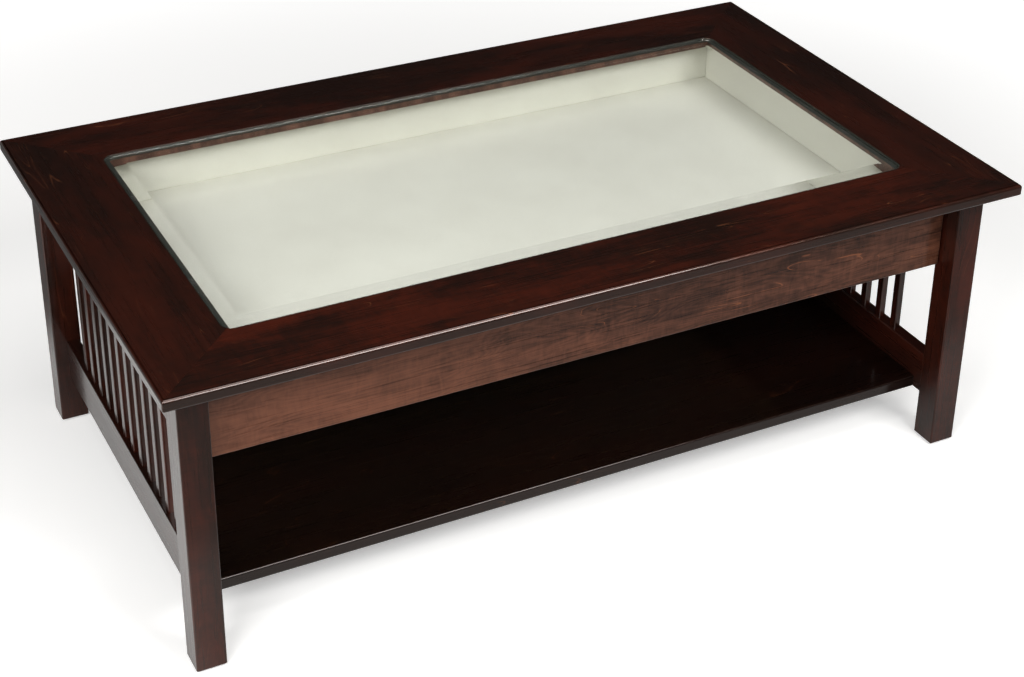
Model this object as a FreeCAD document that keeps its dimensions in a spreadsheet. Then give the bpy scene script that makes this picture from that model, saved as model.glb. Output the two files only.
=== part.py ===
import FreeCAD, Part
import math
import os
import re
import Sketcher

# A mission-style display table: a mitred top frame holds a bevelled glass over a lined
# display drawer, four square legs carry it, and slatted ends stand on the rails that
# also hold the lower shelf.  Millimetres; +X along the length, +Y to the back, +Z up.
# The origin is on the floor, under the middle of the top.

App = FreeCAD
Vector = App.Vector

SIZES = {
    # the whole table
    "table_length": 1219,
    "table_depth": 740,
    "table_height": 436,
    "end_overhang": 27,
    "front_overhang": 42,
    # the mitred frame of the top
    "top_thickness": 16,
    "frame_width": 124,
    "ledge_width": 10,
    "top_edge_round": 3.5,
    "spline_length": 70,
    "spline_width": 24,
    "spline_thickness": 4,
    "spline_lift": 3,
    # the glass and the clear pads that it lies on
    "glass_thickness": 6,
    "glass_edge_thickness": 3,
    "glass_corner": 17,
    "glass_gap": 0.8,
    "bevel_width": 25,
    "bevel_corner": 1,
    "pad_length": 20,
    "pad_width": 7,
    "pad_thickness": 0.8,
    # the legs and their glides
    "leg_width": 40,
    "leg_round": 2,
    "foot_chamfer": 1.5,
    "glide_diameter": 22,
    "glide_thickness": 2.5,
    "glide_taper": 1,
    # the side rails and the back apron
    "rail_setback": 19,
    "lower_rail_bottom": 71,
    "lower_rail_height": 63.5,
    "lower_rail_thickness": 19,
    "upper_rail_height": 115,
    "upper_rail_thickness": 22,
    "rail_round": 1.5,
    "tenon_thickness": 8,
    "tenon_shoulder": 8,
    "apron_thickness": 19,
    "apron_setback": 2,
    # clearances in the joinery
    "joint_gap": 0.1,
    "end_gap": 0.5,
    # the slats
    "slat_count": 12,
    "slat_margin": 84.5,
    "slat_width": 12.7,
    "slat_thickness": 9.5,
    "slat_housing": 8,
    "slat_chamfer": 0.8,
    # the lower shelf and the loose tenons of its joints
    "shelf_thickness": 18,
    "shelf_setback": 16,
    "shelf_round": 3,
    "shelf_key_count": 4,
    "shelf_key_margin": 47,
    "key_thickness": 8,
    "key_width": 30,
    "key_length": 40,
    "key_cover": 7,
    # the stretcher under the drawer
    "stretcher_width": 38,
    "stretcher_thickness": 19,
    "stretcher_gap": 2,
    "stretcher_key_width": 22,
    # the drawer front
    "front_thickness": 19,
    "front_recess": 30,
    "front_side_gap": 2,
    "front_top_gap": 3,
    "front_drop": 13,
    "front_round": 2.5,
    # the dovetailed drawer box
    "box_wall": 15,
    "box_top_gap": 5,
    "box_foot_gap": 6,
    "box_rear_gap": 4,
    "tail_count": 4,
    "tail_width": 9,
    "tail_flare": 2.5,
    "groove_height": 8,
    "groove_depth": 6,
    "bottom_thickness": 6,
    # the fabric-covered linings
    "floor_lining": 2.5,
    "wall_lining": 2,
    "lining_gap": 0.3,
    "lining_top_gap": 2,
    # the telescopic slides
    "slide_height": 45.7,
    "slide_depth": 12.7,
    "slide_sheet": 1.2,
    "slide_drop": 4.5,
    "slide_front_gap": 2,
    "slide_rear_gap": 30,
    "outer_flange": 10,
    "middle_start": 2.9,
    "middle_flange": 8.1,
    "inner_flange": 7.4,
    "ball_race": 3.65,
    "cage_gap": 0.3,
    "cage_width": 4.5,
    "cage_length": 200,
    # the screws
    "screw_diameter": 4,
    "screw_head": 8,
    "front_screw_length": 27,
    "front_screw_count": 3,
    "front_screw_margin": 94,
    # the steel clips that hold the top down
    "side_clip_count": 2,
    "side_clip_margin": 128,
    "back_clip_count": 2,
    "back_clip_margin": 262.5,
    "clip_width": 20,
    "clip_sheet": 2,
    "clip_foot": 16,
    "clip_drop": 10,
    "clip_tab": 8,
    "clip_screw_length": 12,
    "clip_head_height": 1.8,
}

PLACES = {
    # the top
    "half_length": "table_length / 2",
    "half_depth": "table_depth / 2",
    "frame_underside": "table_height - top_thickness",
    "opening_x": "half_length - frame_width",
    "opening_y": "half_depth - frame_width",
    "rabbet_x": "opening_x + ledge_width",
    "rabbet_y": "opening_y + ledge_width",
    "rabbet_depth": "glass_thickness + pad_thickness",
    "glass_x": "rabbet_x - glass_gap",
    "glass_y": "rabbet_y - glass_gap",
    "glass_rim": "glass_corner - glass_gap",
    "mitre_x": "half_length - frame_width / 2",
    "mitre_y": "half_depth - frame_width / 2",
    "ledge_x": "opening_x + ledge_width / 2",
    "ledge_y": "opening_y + ledge_width / 2",
    # the legs
    "leg_outer_x": "half_length - end_overhang",
    "leg_inner_x": "leg_outer_x - leg_width",
    "leg_outer_y": "half_depth - front_overhang",
    "leg_inner_y": "leg_outer_y - leg_width",
    "leg_length": "frame_underside - glide_thickness",
    "glide_x": "leg_outer_x - leg_width / 2",
    "glide_y": "leg_outer_y - leg_width / 2",
    "tenon_length": "leg_width / 2",
    # the side rails
    "rail_outer_x": "leg_outer_x - rail_setback",
    "lower_rail_inner_x": "rail_outer_x - lower_rail_thickness",
    "upper_rail_inner_x": "rail_outer_x - upper_rail_thickness",
    "lower_rail_top": "lower_rail_bottom + lower_rail_height",
    "upper_rail_bottom": "frame_underside - upper_rail_height",
    "apron_inner_y": "leg_outer_y - apron_setback - apron_thickness",
    # the slats stand over the middle of the lower rail
    "slat_inset": "lower_rail_thickness / 2",
    "slat_x": "rail_outer_x - slat_inset",
    "slat_pitch": "2 * (leg_inner_y - slat_margin) / (slat_count - 1)",
    "first_slat_y": "-slat_pitch * (slat_count - 1) / 2",
    "slat_length": "upper_rail_bottom - lower_rail_top + 2 * slat_housing",
    # the shelf
    "shelf_y": "leg_inner_y - shelf_setback",
    "shelf_key_pitch": "2 * (shelf_y - shelf_key_margin) / (shelf_key_count - 1)",
    "key_in_rail": "lower_rail_thickness - key_cover",
    "key_in_board": "key_length - key_in_rail",
    # the drawer fills the room between the rails, the apron, the stretcher and the top
    "front_face_y": "leg_outer_y - front_recess",
    "front_bottom": "upper_rail_bottom - front_drop",
    "front_height": "upper_rail_height + front_drop - front_top_gap",
    "box_front_y": "front_face_y - front_thickness",
    "box_back_y": "apron_inner_y - box_rear_gap",
    "box_depth": "box_front_y + box_back_y",
    "box_outer_x": "upper_rail_inner_x - slide_depth",
    "box_inner_x": "box_outer_x - box_wall",
    "box_bottom": "upper_rail_bottom + stretcher_thickness + box_foot_gap",
    "box_height": "frame_underside - box_top_gap - box_bottom",
    "tray_floor": "box_bottom + groove_height + bottom_thickness",
    "tray_front_y": "box_front_y - box_wall",
    "tray_back_y": "box_back_y - box_wall",
    "lining_height": "box_bottom + box_height - lining_top_gap - tray_floor - floor_lining",
    "stretcher_front_y": "box_front_y - stretcher_gap",
    "stretcher_middle_y": "stretcher_front_y - stretcher_width / 2",
    # the slides, measured from the face of the upper rail
    "slide_lift": "box_height / 2 - slide_drop",
    "slide_z": "box_bottom + slide_lift",
    "slide_front_y": "box_front_y - slide_front_gap",
    "slide_length": "box_depth - slide_front_gap - slide_rear_gap",
    "outer_half": "slide_height / 2",
    "middle_half": "outer_half - slide_sheet - ball_race",
    "inner_half": "middle_half - slide_sheet - ball_race",
    # the rows of screws and clips
    "screw_head_height": "(screw_head - screw_diameter) / 2",
    "front_screw_pitch": "2 * (box_inner_x - front_screw_margin) / (front_screw_count - 1)",
    "side_clip_pitch": "2 * (leg_inner_y - side_clip_margin) / (side_clip_count - 1)",
    "back_clip_pitch": "2 * (leg_inner_x - back_clip_margin) / (back_clip_count - 1)",
}

ENDS = {"front": -1, "back": 1}
SIDES = {"left": -1, "right": 1}
NEARLY_ZERO = 1e-6
SAME_PLACE = 1e-4

doc = App.newDocument("display_table")
sheet = doc.addObject("Spreadsheet::Sheet", "Sizes")
nodes = []
cuts = []


# ---------------------------------------------------------------- sizes

def write_sizes():
    """Puts every driving size in the sheet under its own alias."""
    for row, (alias, value) in enumerate(SIZES.items(), 1):
        sheet.set(f"A{row}", alias.replace("_", " "))
        sheet.set(f"B{row}", str(value))
        sheet.setAlias(f"B{row}", alias)
    doc.recompute()


def spell(text):
    """Writes an expression out in terms of the sheet's cells."""
    def cell(match):
        word = match.group(0)
        if word in SIZES:
            return "Sizes." + word
        if word in PLACES:
            return "(" + spell(PLACES[word]) + ")"
        return word
    return re.sub(r"[a-z_]+", cell, str(text))


def number(text):
    """The present value of an expression."""
    return float(sheet.evalExpression(spell(text)))


def spread(count, pitch):
    """Expressions for a row of places, centred on zero."""
    return [f"({place} - ({count} - 1) / 2) * {pitch}" for place in range(int(number(count)))]


# ---------------------------------------------------------------- drawing

def new_body(name, x="0", y="0", z="0"):
    body = doc.addObject("PartDesign::Body", name)
    body.Label = name
    for axis, text in zip("xyz", (x, y, z)):
        body.setExpression("Placement.Base." + axis, spell(text))
    return body


def origin_feature(body, role):
    return next(item for item in body.Origin.OriginFeatures if item.Role == role)


def new_sketch(body, name, role, lift="0"):
    """A sketch on one of the body's own planes, lifted along the plane's normal."""
    sketch = body.newObject("Sketcher::SketchObject", f"{body.Name}_{name}_sketch")
    sketch.AttachmentSupport = (origin_feature(body, role), [""])
    sketch.MapMode = "FlatFace"
    sketch.setExpression("AttachmentOffset.Base.z", spell(lift))
    return sketch


def hold(sketch, kind, geometry, point, text):
    """Holds one coordinate of a point at an expression."""
    value = float(sketch.evalExpression(spell(text)))
    if abs(value) < NEARLY_ZERO:
        axis = -2 if kind == "DistanceX" else -1
        sketch.addConstraint(Sketcher.Constraint("PointOnObject", geometry, point, axis))
        return
    index = sketch.addConstraint(Sketcher.Constraint(kind, -1, 1, geometry, point, value))
    sketch.setExpression(f"Constraints[{index}]", spell(text))


def place_of(sketch, corner):
    """A corner's present place on the sketch."""
    return Vector(*(float(sketch.evalExpression(spell(text))) for text in corner), 0)


def add_outline(sketch, corners):
    """A closed outline of straight lines, with every corner held by its expressions."""
    points = [place_of(sketch, corner) for corner in corners]
    lines = []
    for start, end in zip(points, points[1:] + points[:1]):
        lines.append(sketch.addGeometry(Part.LineSegment(start, end), False))
    for line, following in zip(lines, lines[1:] + lines[:1]):
        sketch.addConstraint(Sketcher.Constraint("Coincident", line, 2, following, 1))
    for line, (x, y) in zip(lines, corners):
        hold(sketch, "DistanceX", line, 1, x)
        hold(sketch, "DistanceY", line, 1, y)


def add_rectangle(sketch, left, right, bottom, top):
    add_outline(sketch, [(left, bottom), (right, bottom), (right, top), (left, top)])


def add_circle(sketch, x, y, diameter):
    radius = float(sketch.evalExpression(spell(diameter))) / 2
    circle = sketch.addGeometry(Part.Circle(place_of(sketch, (x, y)), Vector(0, 0, 1), radius), False)
    hold(sketch, "DistanceX", circle, 3, x)
    hold(sketch, "DistanceY", circle, 3, y)
    index = sketch.addConstraint(Sketcher.Constraint("Diameter", circle, 2 * radius))
    sketch.setExpression(f"Constraints[{index}]", spell(diameter))


def add_rounded_rectangle(sketch, half_x, half_y, radius):
    """A rectangle about the origin with four equal round corners."""
    x, y = place_of(sketch, (half_x, half_y))[:2]
    r = float(sketch.evalExpression(spell(radius)))
    quarter = math.pi / 2
    corners = [(x - r, -y + r, 3), (x - r, y - r, 0), (-x + r, y - r, 1), (-x + r, -y + r, 2)]
    arcs = []
    for centre_x, centre_y, turn in corners:
        circle = Part.Circle(Vector(centre_x, centre_y, 0), Vector(0, 0, 1), r)
        arc = Part.ArcOfCircle(circle, turn * quarter, (turn + 1) * quarter)
        arcs.append(sketch.addGeometry(arc, False))
    lines = []
    for arc, following in zip(arcs, arcs[1:] + arcs[:1]):
        start = sketch.Geometry[arc].EndPoint
        end = sketch.Geometry[following].StartPoint
        lines.append(sketch.addGeometry(Part.LineSegment(start, end), False))
    for arc, line, following in zip(arcs, lines, arcs[1:] + arcs[:1]):
        sketch.addConstraint(Sketcher.Constraint("Tangent", arc, 2, line, 1))
        sketch.addConstraint(Sketcher.Constraint("Tangent", line, 2, following, 1))
    for arc in arcs[1:]:
        sketch.addConstraint(Sketcher.Constraint("Equal", arcs[0], arc))
    index = sketch.addConstraint(Sketcher.Constraint("Radius", arcs[0], r))
    sketch.setExpression(f"Constraints[{index}]", spell(radius))
    hold(sketch, "DistanceY", lines[1], 1, half_y)
    hold(sketch, "DistanceX", lines[2], 1, f"-({half_x})")
    hold(sketch, "DistanceY", lines[3], 1, f"-({half_y})")
    hold(sketch, "DistanceX", lines[0], 1, half_x)


def pad(body, name, sketch, length, reverse=False):
    feature = body.newObject("PartDesign::Pad", f"{body.Name}_{name}")
    feature.Profile = sketch
    feature.setExpression("Length", spell(length))
    feature.Reversed = reverse
    return feature


def pocket(body, name, sketch, length, reverse=False):
    """A pocket, remembered so that what it removes is checked at the end."""
    before = body.Tip
    feature = body.newObject("PartDesign::Pocket", f"{body.Name}_{name}")
    feature.Profile = sketch
    feature.setExpression("Length", spell(length))
    feature.Reversed = reverse
    cuts.append((before, feature))
    return feature


def drill(body, name, role, lift, centres, diameter, depth, reverse=False):
    """Round holes of one depth, all started from one plane."""
    sketch = new_sketch(body, name, role, lift)
    for x, y in centres:
        add_circle(sketch, x, y, diameter)
    return pocket(body, name, sketch, depth, reverse)


def edges_where(feature, test):
    doc.recompute()
    edges = enumerate(feature.Shape.Edges, 1)
    return [f"Edge{place}" for place, edge in edges if test(edge)]


def runs_along(edge, axis):
    """True for a straight edge along x, y or z."""
    ends = [vertex.Point for vertex in edge.Vertexes]
    if len(ends) != 2:
        return False
    step = ends[1] - ends[0]
    return all(abs(getattr(step, other)) < NEARLY_ZERO for other in "xyz" if other != axis)


def is_round(edge):
    return isinstance(edge.Curve, Part.Circle)


def stands_at(edge, axis, text):
    """True for an edge that lies wholly at one coordinate."""
    where = number(text)
    return all(abs(getattr(vertex.Point, axis) - where) < SAME_PLACE for vertex in edge.Vertexes)


def ease(body, name, kind, test, size_name, size_text):
    """Rounds or chamfers the edges of the body's last feature that pass the test."""
    base = body.Tip
    names = edges_where(base, test)
    if not names:
        raise RuntimeError(f"{body.Name} {name} found no edges")
    feature = body.newObject(f"PartDesign::{kind}", f"{body.Name}_{name}")
    feature.Base = (base, names)
    feature.setExpression(size_name, spell(size_text))
    return feature


def primitive(kind, name, sizes, x, y, z, axis=(0, 0, 1)):
    """A Part primitive with its sizes and place bound to the sheet."""
    solid = doc.addObject("Part::" + kind, name)
    for size, text in sizes.items():
        solid.setExpression(size, spell(text))
    solid.Placement = App.Placement(Vector(), App.Rotation(Vector(0, 0, 1), Vector(*axis)))
    for letter, text in zip("xyz", (x, y, z)):
        solid.setExpression("Placement.Base." + letter, spell(text))
    return solid


def block(name, x, y, z):
    """A box between pairs of expressions."""
    sizes = {size: f"({high}) - ({low})"
             for size, (low, high) in zip(("Length", "Width", "Height"), (x, y, z))}
    return primitive("Box", name, sizes, x[0], y[0], z[0])


def boolean(kind, name, **links):
    result = doc.addObject("Part::" + kind, name)
    for link, value in links.items():
        setattr(result, link, value)
    return result


def group(name, solids):
    """Like solids that share one node."""
    return boolean("Compound", name, Links=solids)


def keep(node):
    node.Label = node.Name
    nodes.append(node)
    return node


# ---------------------------------------------------------------- the top

def spline_corners(x_sign, y_sign, extra):
    """A rectangle laid along one mitre, centred on it."""
    long = f"(spline_length + 2 * {extra})"
    wide = f"(spline_width + 2 * {extra})"
    near = f"({long} - {wide}) / sqrt(8)"
    far = f"({long} + {wide}) / sqrt(8)"
    steps = [(near, far), (far, near), (f"-{near}", f"-{far}"), (f"-{far}", f"-{near}")]
    return [(f"{x_sign} * (mitre_x + ({x}))", f"{y_sign} * (mitre_y + ({y}))") for x, y in steps]


def clip_rows():
    """The clips of each rail: their places along it, and where their screws enter the frame."""
    reach = "clip_foot / 2"
    rows = {"back": []}
    for x in spread("back_clip_count", "back_clip_pitch"):
        rows["back"].append((x, (x, f"apron_inner_y - {reach}")))
    for side, sign in SIDES.items():
        places = spread("side_clip_count", "side_clip_pitch")
        rows[side] = [(y, (f"{sign} * (upper_rail_inner_x - {reach})", y)) for y in places]
    return rows


def frame_member(where):
    """One mitred board of the top, with its share of the rabbet and of two spline slots."""
    body = new_body("frame_" + where, z="frame_underside")
    if where in ENDS:
        sign = ENDS[where]
        outer = [("-half_length", f"{sign} * half_depth"), ("half_length", f"{sign} * half_depth")]
        inner = [("opening_x", f"{sign} * opening_y"), ("-opening_x", f"{sign} * opening_y")]
        corners = [(-1, sign), (1, sign)]
        along, across, rim = "x", "y", f"{sign} * half_depth"
    else:
        sign = SIDES[where]
        outer = [(f"{sign} * half_length", "-half_depth"), (f"{sign} * half_length", "half_depth")]
        inner = [(f"{sign} * opening_x", "opening_y"), (f"{sign} * opening_x", "-opening_y")]
        corners = [(sign, -1), (sign, 1)]
        along, across, rim = "y", "x", f"{sign} * half_length"
    board = new_sketch(body, "board", "XY_Plane")
    add_outline(board, outer + inner)
    pad(body, "board", board, "top_thickness")
    ease(body, "edge", "Fillet", lambda edge: runs_along(edge, along) and stands_at(edge, across, rim),
         "Radius", "top_edge_round")
    rabbet = new_sketch(body, "rabbet", "XY_Plane", "top_thickness")
    add_rounded_rectangle(rabbet, "rabbet_x", "rabbet_y", "glass_corner")
    pocket(body, "rabbet", rabbet, "rabbet_depth")
    slots = new_sketch(body, "slots", "XY_Plane", "spline_lift + spline_thickness + joint_gap")
    for x_sign, y_sign in corners:
        add_outline(slots, spline_corners(x_sign, y_sign, "joint_gap"))
    pocket(body, "slots", slots, "spline_thickness + 2 * joint_gap")
    if where in clip_rows():
        holes = [screw for place, screw in clip_rows()[where]]
        drill(body, "pilots", "XY_Plane", "0", holes, "screw_diameter + 2 * joint_gap",
              "clip_screw_length - clip_sheet + end_gap", reverse=True)
    return keep(body)


def mitre_splines():
    """Four hardwood keys across the mitres."""
    keys = []
    for end, y_sign in ENDS.items():
        for side, x_sign in SIDES.items():
            body = new_body(f"key_{end}_{side}", z="frame_underside + spline_lift")
            outline = new_sketch(body, "outline", "XY_Plane")
            add_outline(outline, spline_corners(x_sign, y_sign, "0"))
            pad(body, "key", outline, "spline_thickness")
            keys.append(body)
    return keep(group("mitre_splines", keys))


def glass_top():
    """The inset glass: a thin upright edge, then a wide polished bevel."""
    body = new_body("glass_top", z="table_height - glass_thickness")
    rim = new_sketch(body, "rim", "XY_Plane")
    add_rounded_rectangle(rim, "glass_x", "glass_y", "glass_rim")
    pad(body, "rim", rim, "glass_edge_thickness")
    low = new_sketch(body, "bevel_foot", "XY_Plane", "glass_edge_thickness")
    add_rounded_rectangle(low, "glass_x", "glass_y", "glass_rim")
    high = new_sketch(body, "bevel_head", "XY_Plane", "glass_thickness")
    add_rounded_rectangle(high, "glass_x - bevel_width", "glass_y - bevel_width", "bevel_corner")
    bevel = body.newObject("PartDesign::AdditiveLoft", "glass_top_bevel")
    bevel.Profile = low
    bevel.Sections = [high]
    bevel.Ruled = True
    return keep(body)


def glass_pads():
    """Clear pads on the ledge, which keep the glass from rattling."""
    height = ("table_height - rabbet_depth", "table_height - glass_thickness")
    long = "pad_length / 2"
    wide = "pad_width / 2"
    pads = []
    for end, sign in ENDS.items():
        for place, x in enumerate(("-opening_x / 2", "0", "opening_x / 2"), 1):
            y = f"{sign} * ledge_y"
            pads.append(block(f"pad_{end}_{place}", (f"{x} - {long}", f"{x} + {long}"),
                              (f"{y} - {wide}", f"{y} + {wide}"), height))
    for side, sign in SIDES.items():
        for place, y in enumerate(("-opening_y / 2", "opening_y / 2"), 1):
            x = f"{sign} * ledge_x"
            pads.append(block(f"pad_{side}_{place}", (f"{x} - {wide}", f"{x} + {wide}"),
                              (f"{y} - {long}", f"{y} + {long}"), height))
    return keep(group("glass_pads", pads))


# ---------------------------------------------------------------- legs, rails and slats

def tenon_section(thickness, height, lift):
    """Low and high edges of a mortise, about a rail's own middle and over its own bottom."""
    low = f"{lift} + tenon_shoulder - joint_gap"
    high = f"{lift} + {height} - tenon_shoulder + joint_gap"
    return f"tenon_thickness / 2 + joint_gap", low, high


def leg(end, side):
    """A square leg with eased corners, cut for the rails that meet it."""
    x_sign, y_sign = SIDES[side], ENDS[end]
    body = new_body(f"leg_{end}_{side}", f"{x_sign} * glide_x", f"{y_sign} * glide_y", "glide_thickness")
    square = new_sketch(body, "square", "XY_Plane")
    half = "leg_width / 2"
    add_rectangle(square, f"-{half}", half, f"-{half}", half)
    pad(body, "post", square, "leg_length")
    ease(body, "corners", "Fillet", lambda edge: runs_along(edge, "z"), "Radius", "leg_round")
    ease(body, "foot", "Chamfer", lambda edge: stands_at(edge, "z", "0"), "Size", "foot_chamfer")
    rails = {
        "lower": ("lower_rail_thickness", "lower_rail_height", "lower_rail_bottom"),
        "upper": ("upper_rail_thickness", "upper_rail_height", "upper_rail_bottom"),
    }
    for name, (thickness, height, bottom) in rails.items():
        half_width, low, high = tenon_section(thickness, height, f"{bottom} - glide_thickness")
        middle = f"{x_sign} * (leg_width / 2 - rail_setback - {thickness} / 2)"
        mortise = new_sketch(body, name + "_mortise", "XZ_Plane", f"{y_sign} * leg_width / 2")
        add_rectangle(mortise, f"{middle} - ({half_width})", f"{middle} + ({half_width})", low, high)
        pocket(body, name + "_mortise", mortise, "tenon_length + end_gap", reverse=end == "front")
    if end == "back":
        half_width, low, high = tenon_section("apron_thickness", "upper_rail_height",
                                              "upper_rail_bottom - glide_thickness")
        middle = "leg_width / 2 - apron_setback - apron_thickness / 2"
        mortise = new_sketch(body, "apron_mortise", "YZ_Plane", f"-{x_sign} * leg_width / 2")
        add_rectangle(mortise, f"{middle} - ({half_width})", f"{middle} + ({half_width})", low, high)
        pocket(body, "apron_mortise", mortise, "tenon_length + end_gap", reverse=side == "right")
    return keep(body)


def leg_glides():
    """Four glides under the legs, narrower at the floor."""
    sizes = {"Radius1": "glide_diameter / 2 - glide_taper", "Radius2": "glide_diameter / 2",
             "Height": "glide_thickness"}
    glides = []
    for end, y_sign in ENDS.items():
        for side, x_sign in SIDES.items():
            glides.append(primitive("Cone", f"glide_{end}_{side}", sizes,
                                    f"{x_sign} * glide_x", f"{y_sign} * glide_y", "0"))
    return keep(group("leg_glides", glides))


def side_rail(name, side, thickness, height, bottom, eased):
    """A rail between two legs: a board with a tenon at each end."""
    sign = SIDES[side]
    body = new_body(f"{name}_rail_{side}", f"{sign} * rail_outer_x", z=bottom)
    inward = side == "right"
    board = new_sketch(body, "board", "YZ_Plane")
    add_rectangle(board, "-leg_inner_y", "leg_inner_y", "0", height)
    pad(body, "board", board, thickness, inward)
    ease(body, "edges", "Fillet", eased, "Radius", "rail_round")
    tenons = new_sketch(body, "tenons", "YZ_Plane", f"-{sign} * ({thickness} - tenon_thickness) / 2")
    reach = "(leg_inner_y + tenon_length)"
    add_rectangle(tenons, f"-{reach}", reach, "tenon_shoulder", f"{height} - tenon_shoulder")
    pad(body, "tenons", tenons, "tenon_thickness", inward)
    return body


def slat_mortises(body, sign, lift, depth, reverse):
    """The row of housings for the slats in one rail."""
    first = new_sketch(body, "slat_mortise", "XY_Plane", lift)
    middle = f"-{sign} * slat_inset"
    half_x = "(slat_thickness / 2 + joint_gap)"
    half_y = "(slat_width / 2 + joint_gap)"
    add_rectangle(first, f"{middle} - {half_x}", f"{middle} + {half_x}",
                  f"first_slat_y - {half_y}", f"first_slat_y + {half_y}")
    mortise = pocket(body, "slat_mortise", first, depth, reverse)
    row = body.newObject("PartDesign::LinearPattern", body.Name + "_slat_mortises")
    row.Originals = [mortise]
    row.Direction = (origin_feature(body, "Y_Axis"), [""])
    row.setExpression("Length", spell("slat_pitch * (slat_count - 1)"))
    row.setExpression("Occurrences", spell("slat_count"))
    body.Tip = row
    cuts.append((mortise, row))


def lower_rail(side):
    """The lower rail takes the slats on top and the shelf's loose tenons inside."""
    sign = SIDES[side]
    body = side_rail("lower", side, "lower_rail_thickness", "lower_rail_height", "lower_rail_bottom",
                     lambda edge: runs_along(edge, "y"))
    slat_mortises(body, sign, "lower_rail_height", "slat_housing", False)
    key_mortises(body, "key", f"-{sign} * lower_rail_thickness", shelf_keys(), "shelf_thickness / 2",
                 "key_width", "key_in_rail", side == "right")
    return keep(body)


def key_mortises(body, name, lift, places, z, width, depth, reverse):
    """Mortises for loose tenons, all at one height in one upright face."""
    sketch = new_sketch(body, name, "YZ_Plane", lift)
    half_y = f"({width} / 2 + joint_gap)"
    half_z = "(key_thickness / 2 + joint_gap)"
    for y in places:
        add_rectangle(sketch, f"{y} - {half_y}", f"{y} + {half_y}", f"{z} - {half_z}", f"{z} + {half_z}")
    return pocket(body, name, sketch, f"{depth} + end_gap", reverse)


def shelf_keys():
    return spread("shelf_key_count", "shelf_key_pitch")


def upper_rail(side):
    """The upper rail takes the slats below, the stretcher inside and the top's clips."""
    sign = SIDES[side]
    body = side_rail("upper", side, "upper_rail_thickness", "upper_rail_height", "upper_rail_bottom",
                     lambda edge: runs_along(edge, "y") and stands_at(edge, "z", "0"))
    slat_mortises(body, sign, "0", "slat_housing + end_gap", True)
    face = f"-{sign} * upper_rail_thickness"
    key_mortises(body, "key", face, ["-stretcher_middle_y"], "stretcher_thickness / 2",
                 "stretcher_key_width", "key_in_rail", side == "right")
    kerfs = new_sketch(body, "kerfs", "YZ_Plane", face)
    for y, screw in clip_rows()[side]:
        add_kerf(kerfs, y)
    pocket(body, "kerfs", kerfs, "clip_tab + end_gap", side == "right")
    return keep(body)


def add_kerf(sketch, along):
    """The slot for one clip's tab, measured down from the top of its rail."""
    half = "(clip_width / 2 + joint_gap)"
    low = "upper_rail_height - clip_drop - joint_gap"
    add_rectangle(sketch, f"{along} - {half}", f"{along} + {half}",
                  low, f"{low} + clip_sheet + 2 * joint_gap")


def slat(side, place):
    """One upright slat with chamfered corners, housed in both rails."""
    y = f"first_slat_y + {place} * slat_pitch"
    body = new_body(f"slat_{side}_{place + 1:02d}", f"{SIDES[side]} * slat_x", y,
                    "lower_rail_top - slat_housing")
    section = new_sketch(body, "section", "XY_Plane")
    add_rectangle(section, "-slat_thickness / 2", "slat_thickness / 2", "-slat_width / 2", "slat_width / 2")
    pad(body, "stick", section, "slat_length")
    ease(body, "corners", "Chamfer", lambda edge: runs_along(edge, "z"), "Size", "slat_chamfer")
    return keep(body)


def back_apron():
    """The apron between the back legs, tenoned like the rails."""
    body = new_body("back_apron", y="apron_inner_y", z="upper_rail_bottom")
    board = new_sketch(body, "board", "XZ_Plane")
    add_rectangle(board, "-leg_inner_x", "leg_inner_x", "0", "upper_rail_height")
    pad(body, "board", board, "apron_thickness", reverse=True)
    ease(body, "edges", "Fillet", lambda edge: runs_along(edge, "x") and stands_at(edge, "z", "0"),
         "Radius", "rail_round")
    tenons = new_sketch(body, "tenons", "XZ_Plane", "-(apron_thickness - tenon_thickness) / 2")
    reach = "(leg_inner_x + tenon_length)"
    add_rectangle(tenons, f"-{reach}", reach, "tenon_shoulder", "upper_rail_height - tenon_shoulder")
    pad(body, "tenons", tenons, "tenon_thickness", reverse=True)
    kerfs = new_sketch(body, "kerfs", "XZ_Plane")
    for x, screw in clip_rows()["back"]:
        add_kerf(kerfs, x)
    pocket(body, "kerfs", kerfs, "clip_tab + end_gap")
    return keep(body)


def drawer_stretcher():
    """The flat rail under the front of the drawer, which ties the sides together."""
    body = new_body("drawer_stretcher", z="upper_rail_bottom")
    board = new_sketch(body, "board", "XY_Plane")
    add_rectangle(board, "-upper_rail_inner_x", "upper_rail_inner_x",
                  "-stretcher_front_y", "-stretcher_front_y + stretcher_width")
    pad(body, "board", board, "stretcher_thickness")
    ease(body, "edges", "Fillet", lambda edge: runs_along(edge, "x"), "Radius", "rail_round")
    for side, sign in SIDES.items():
        key_mortises(body, "key_" + side, f"{sign} * upper_rail_inner_x", ["-stretcher_middle_y"],
                     "stretcher_thickness / 2", "stretcher_key_width", "key_in_board", side == "left")
    return keep(body)


def lower_shelf():
    """The shelf between the lower rails, level with their undersides."""
    body = new_body("lower_shelf", z="lower_rail_bottom")
    board = new_sketch(body, "board", "XY_Plane")
    add_rectangle(board, "-lower_rail_inner_x", "lower_rail_inner_x", "-shelf_y", "shelf_y")
    pad(body, "board", board, "shelf_thickness")
    ease(body, "edges", "Fillet", lambda edge: runs_along(edge, "x"), "Radius", "shelf_round")
    for side, sign in SIDES.items():
        key_mortises(body, "key_" + side, f"{sign} * lower_rail_inner_x", shelf_keys(),
                     "shelf_thickness / 2", "key_width", "key_in_board", side == "left")
    return keep(body)


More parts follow.
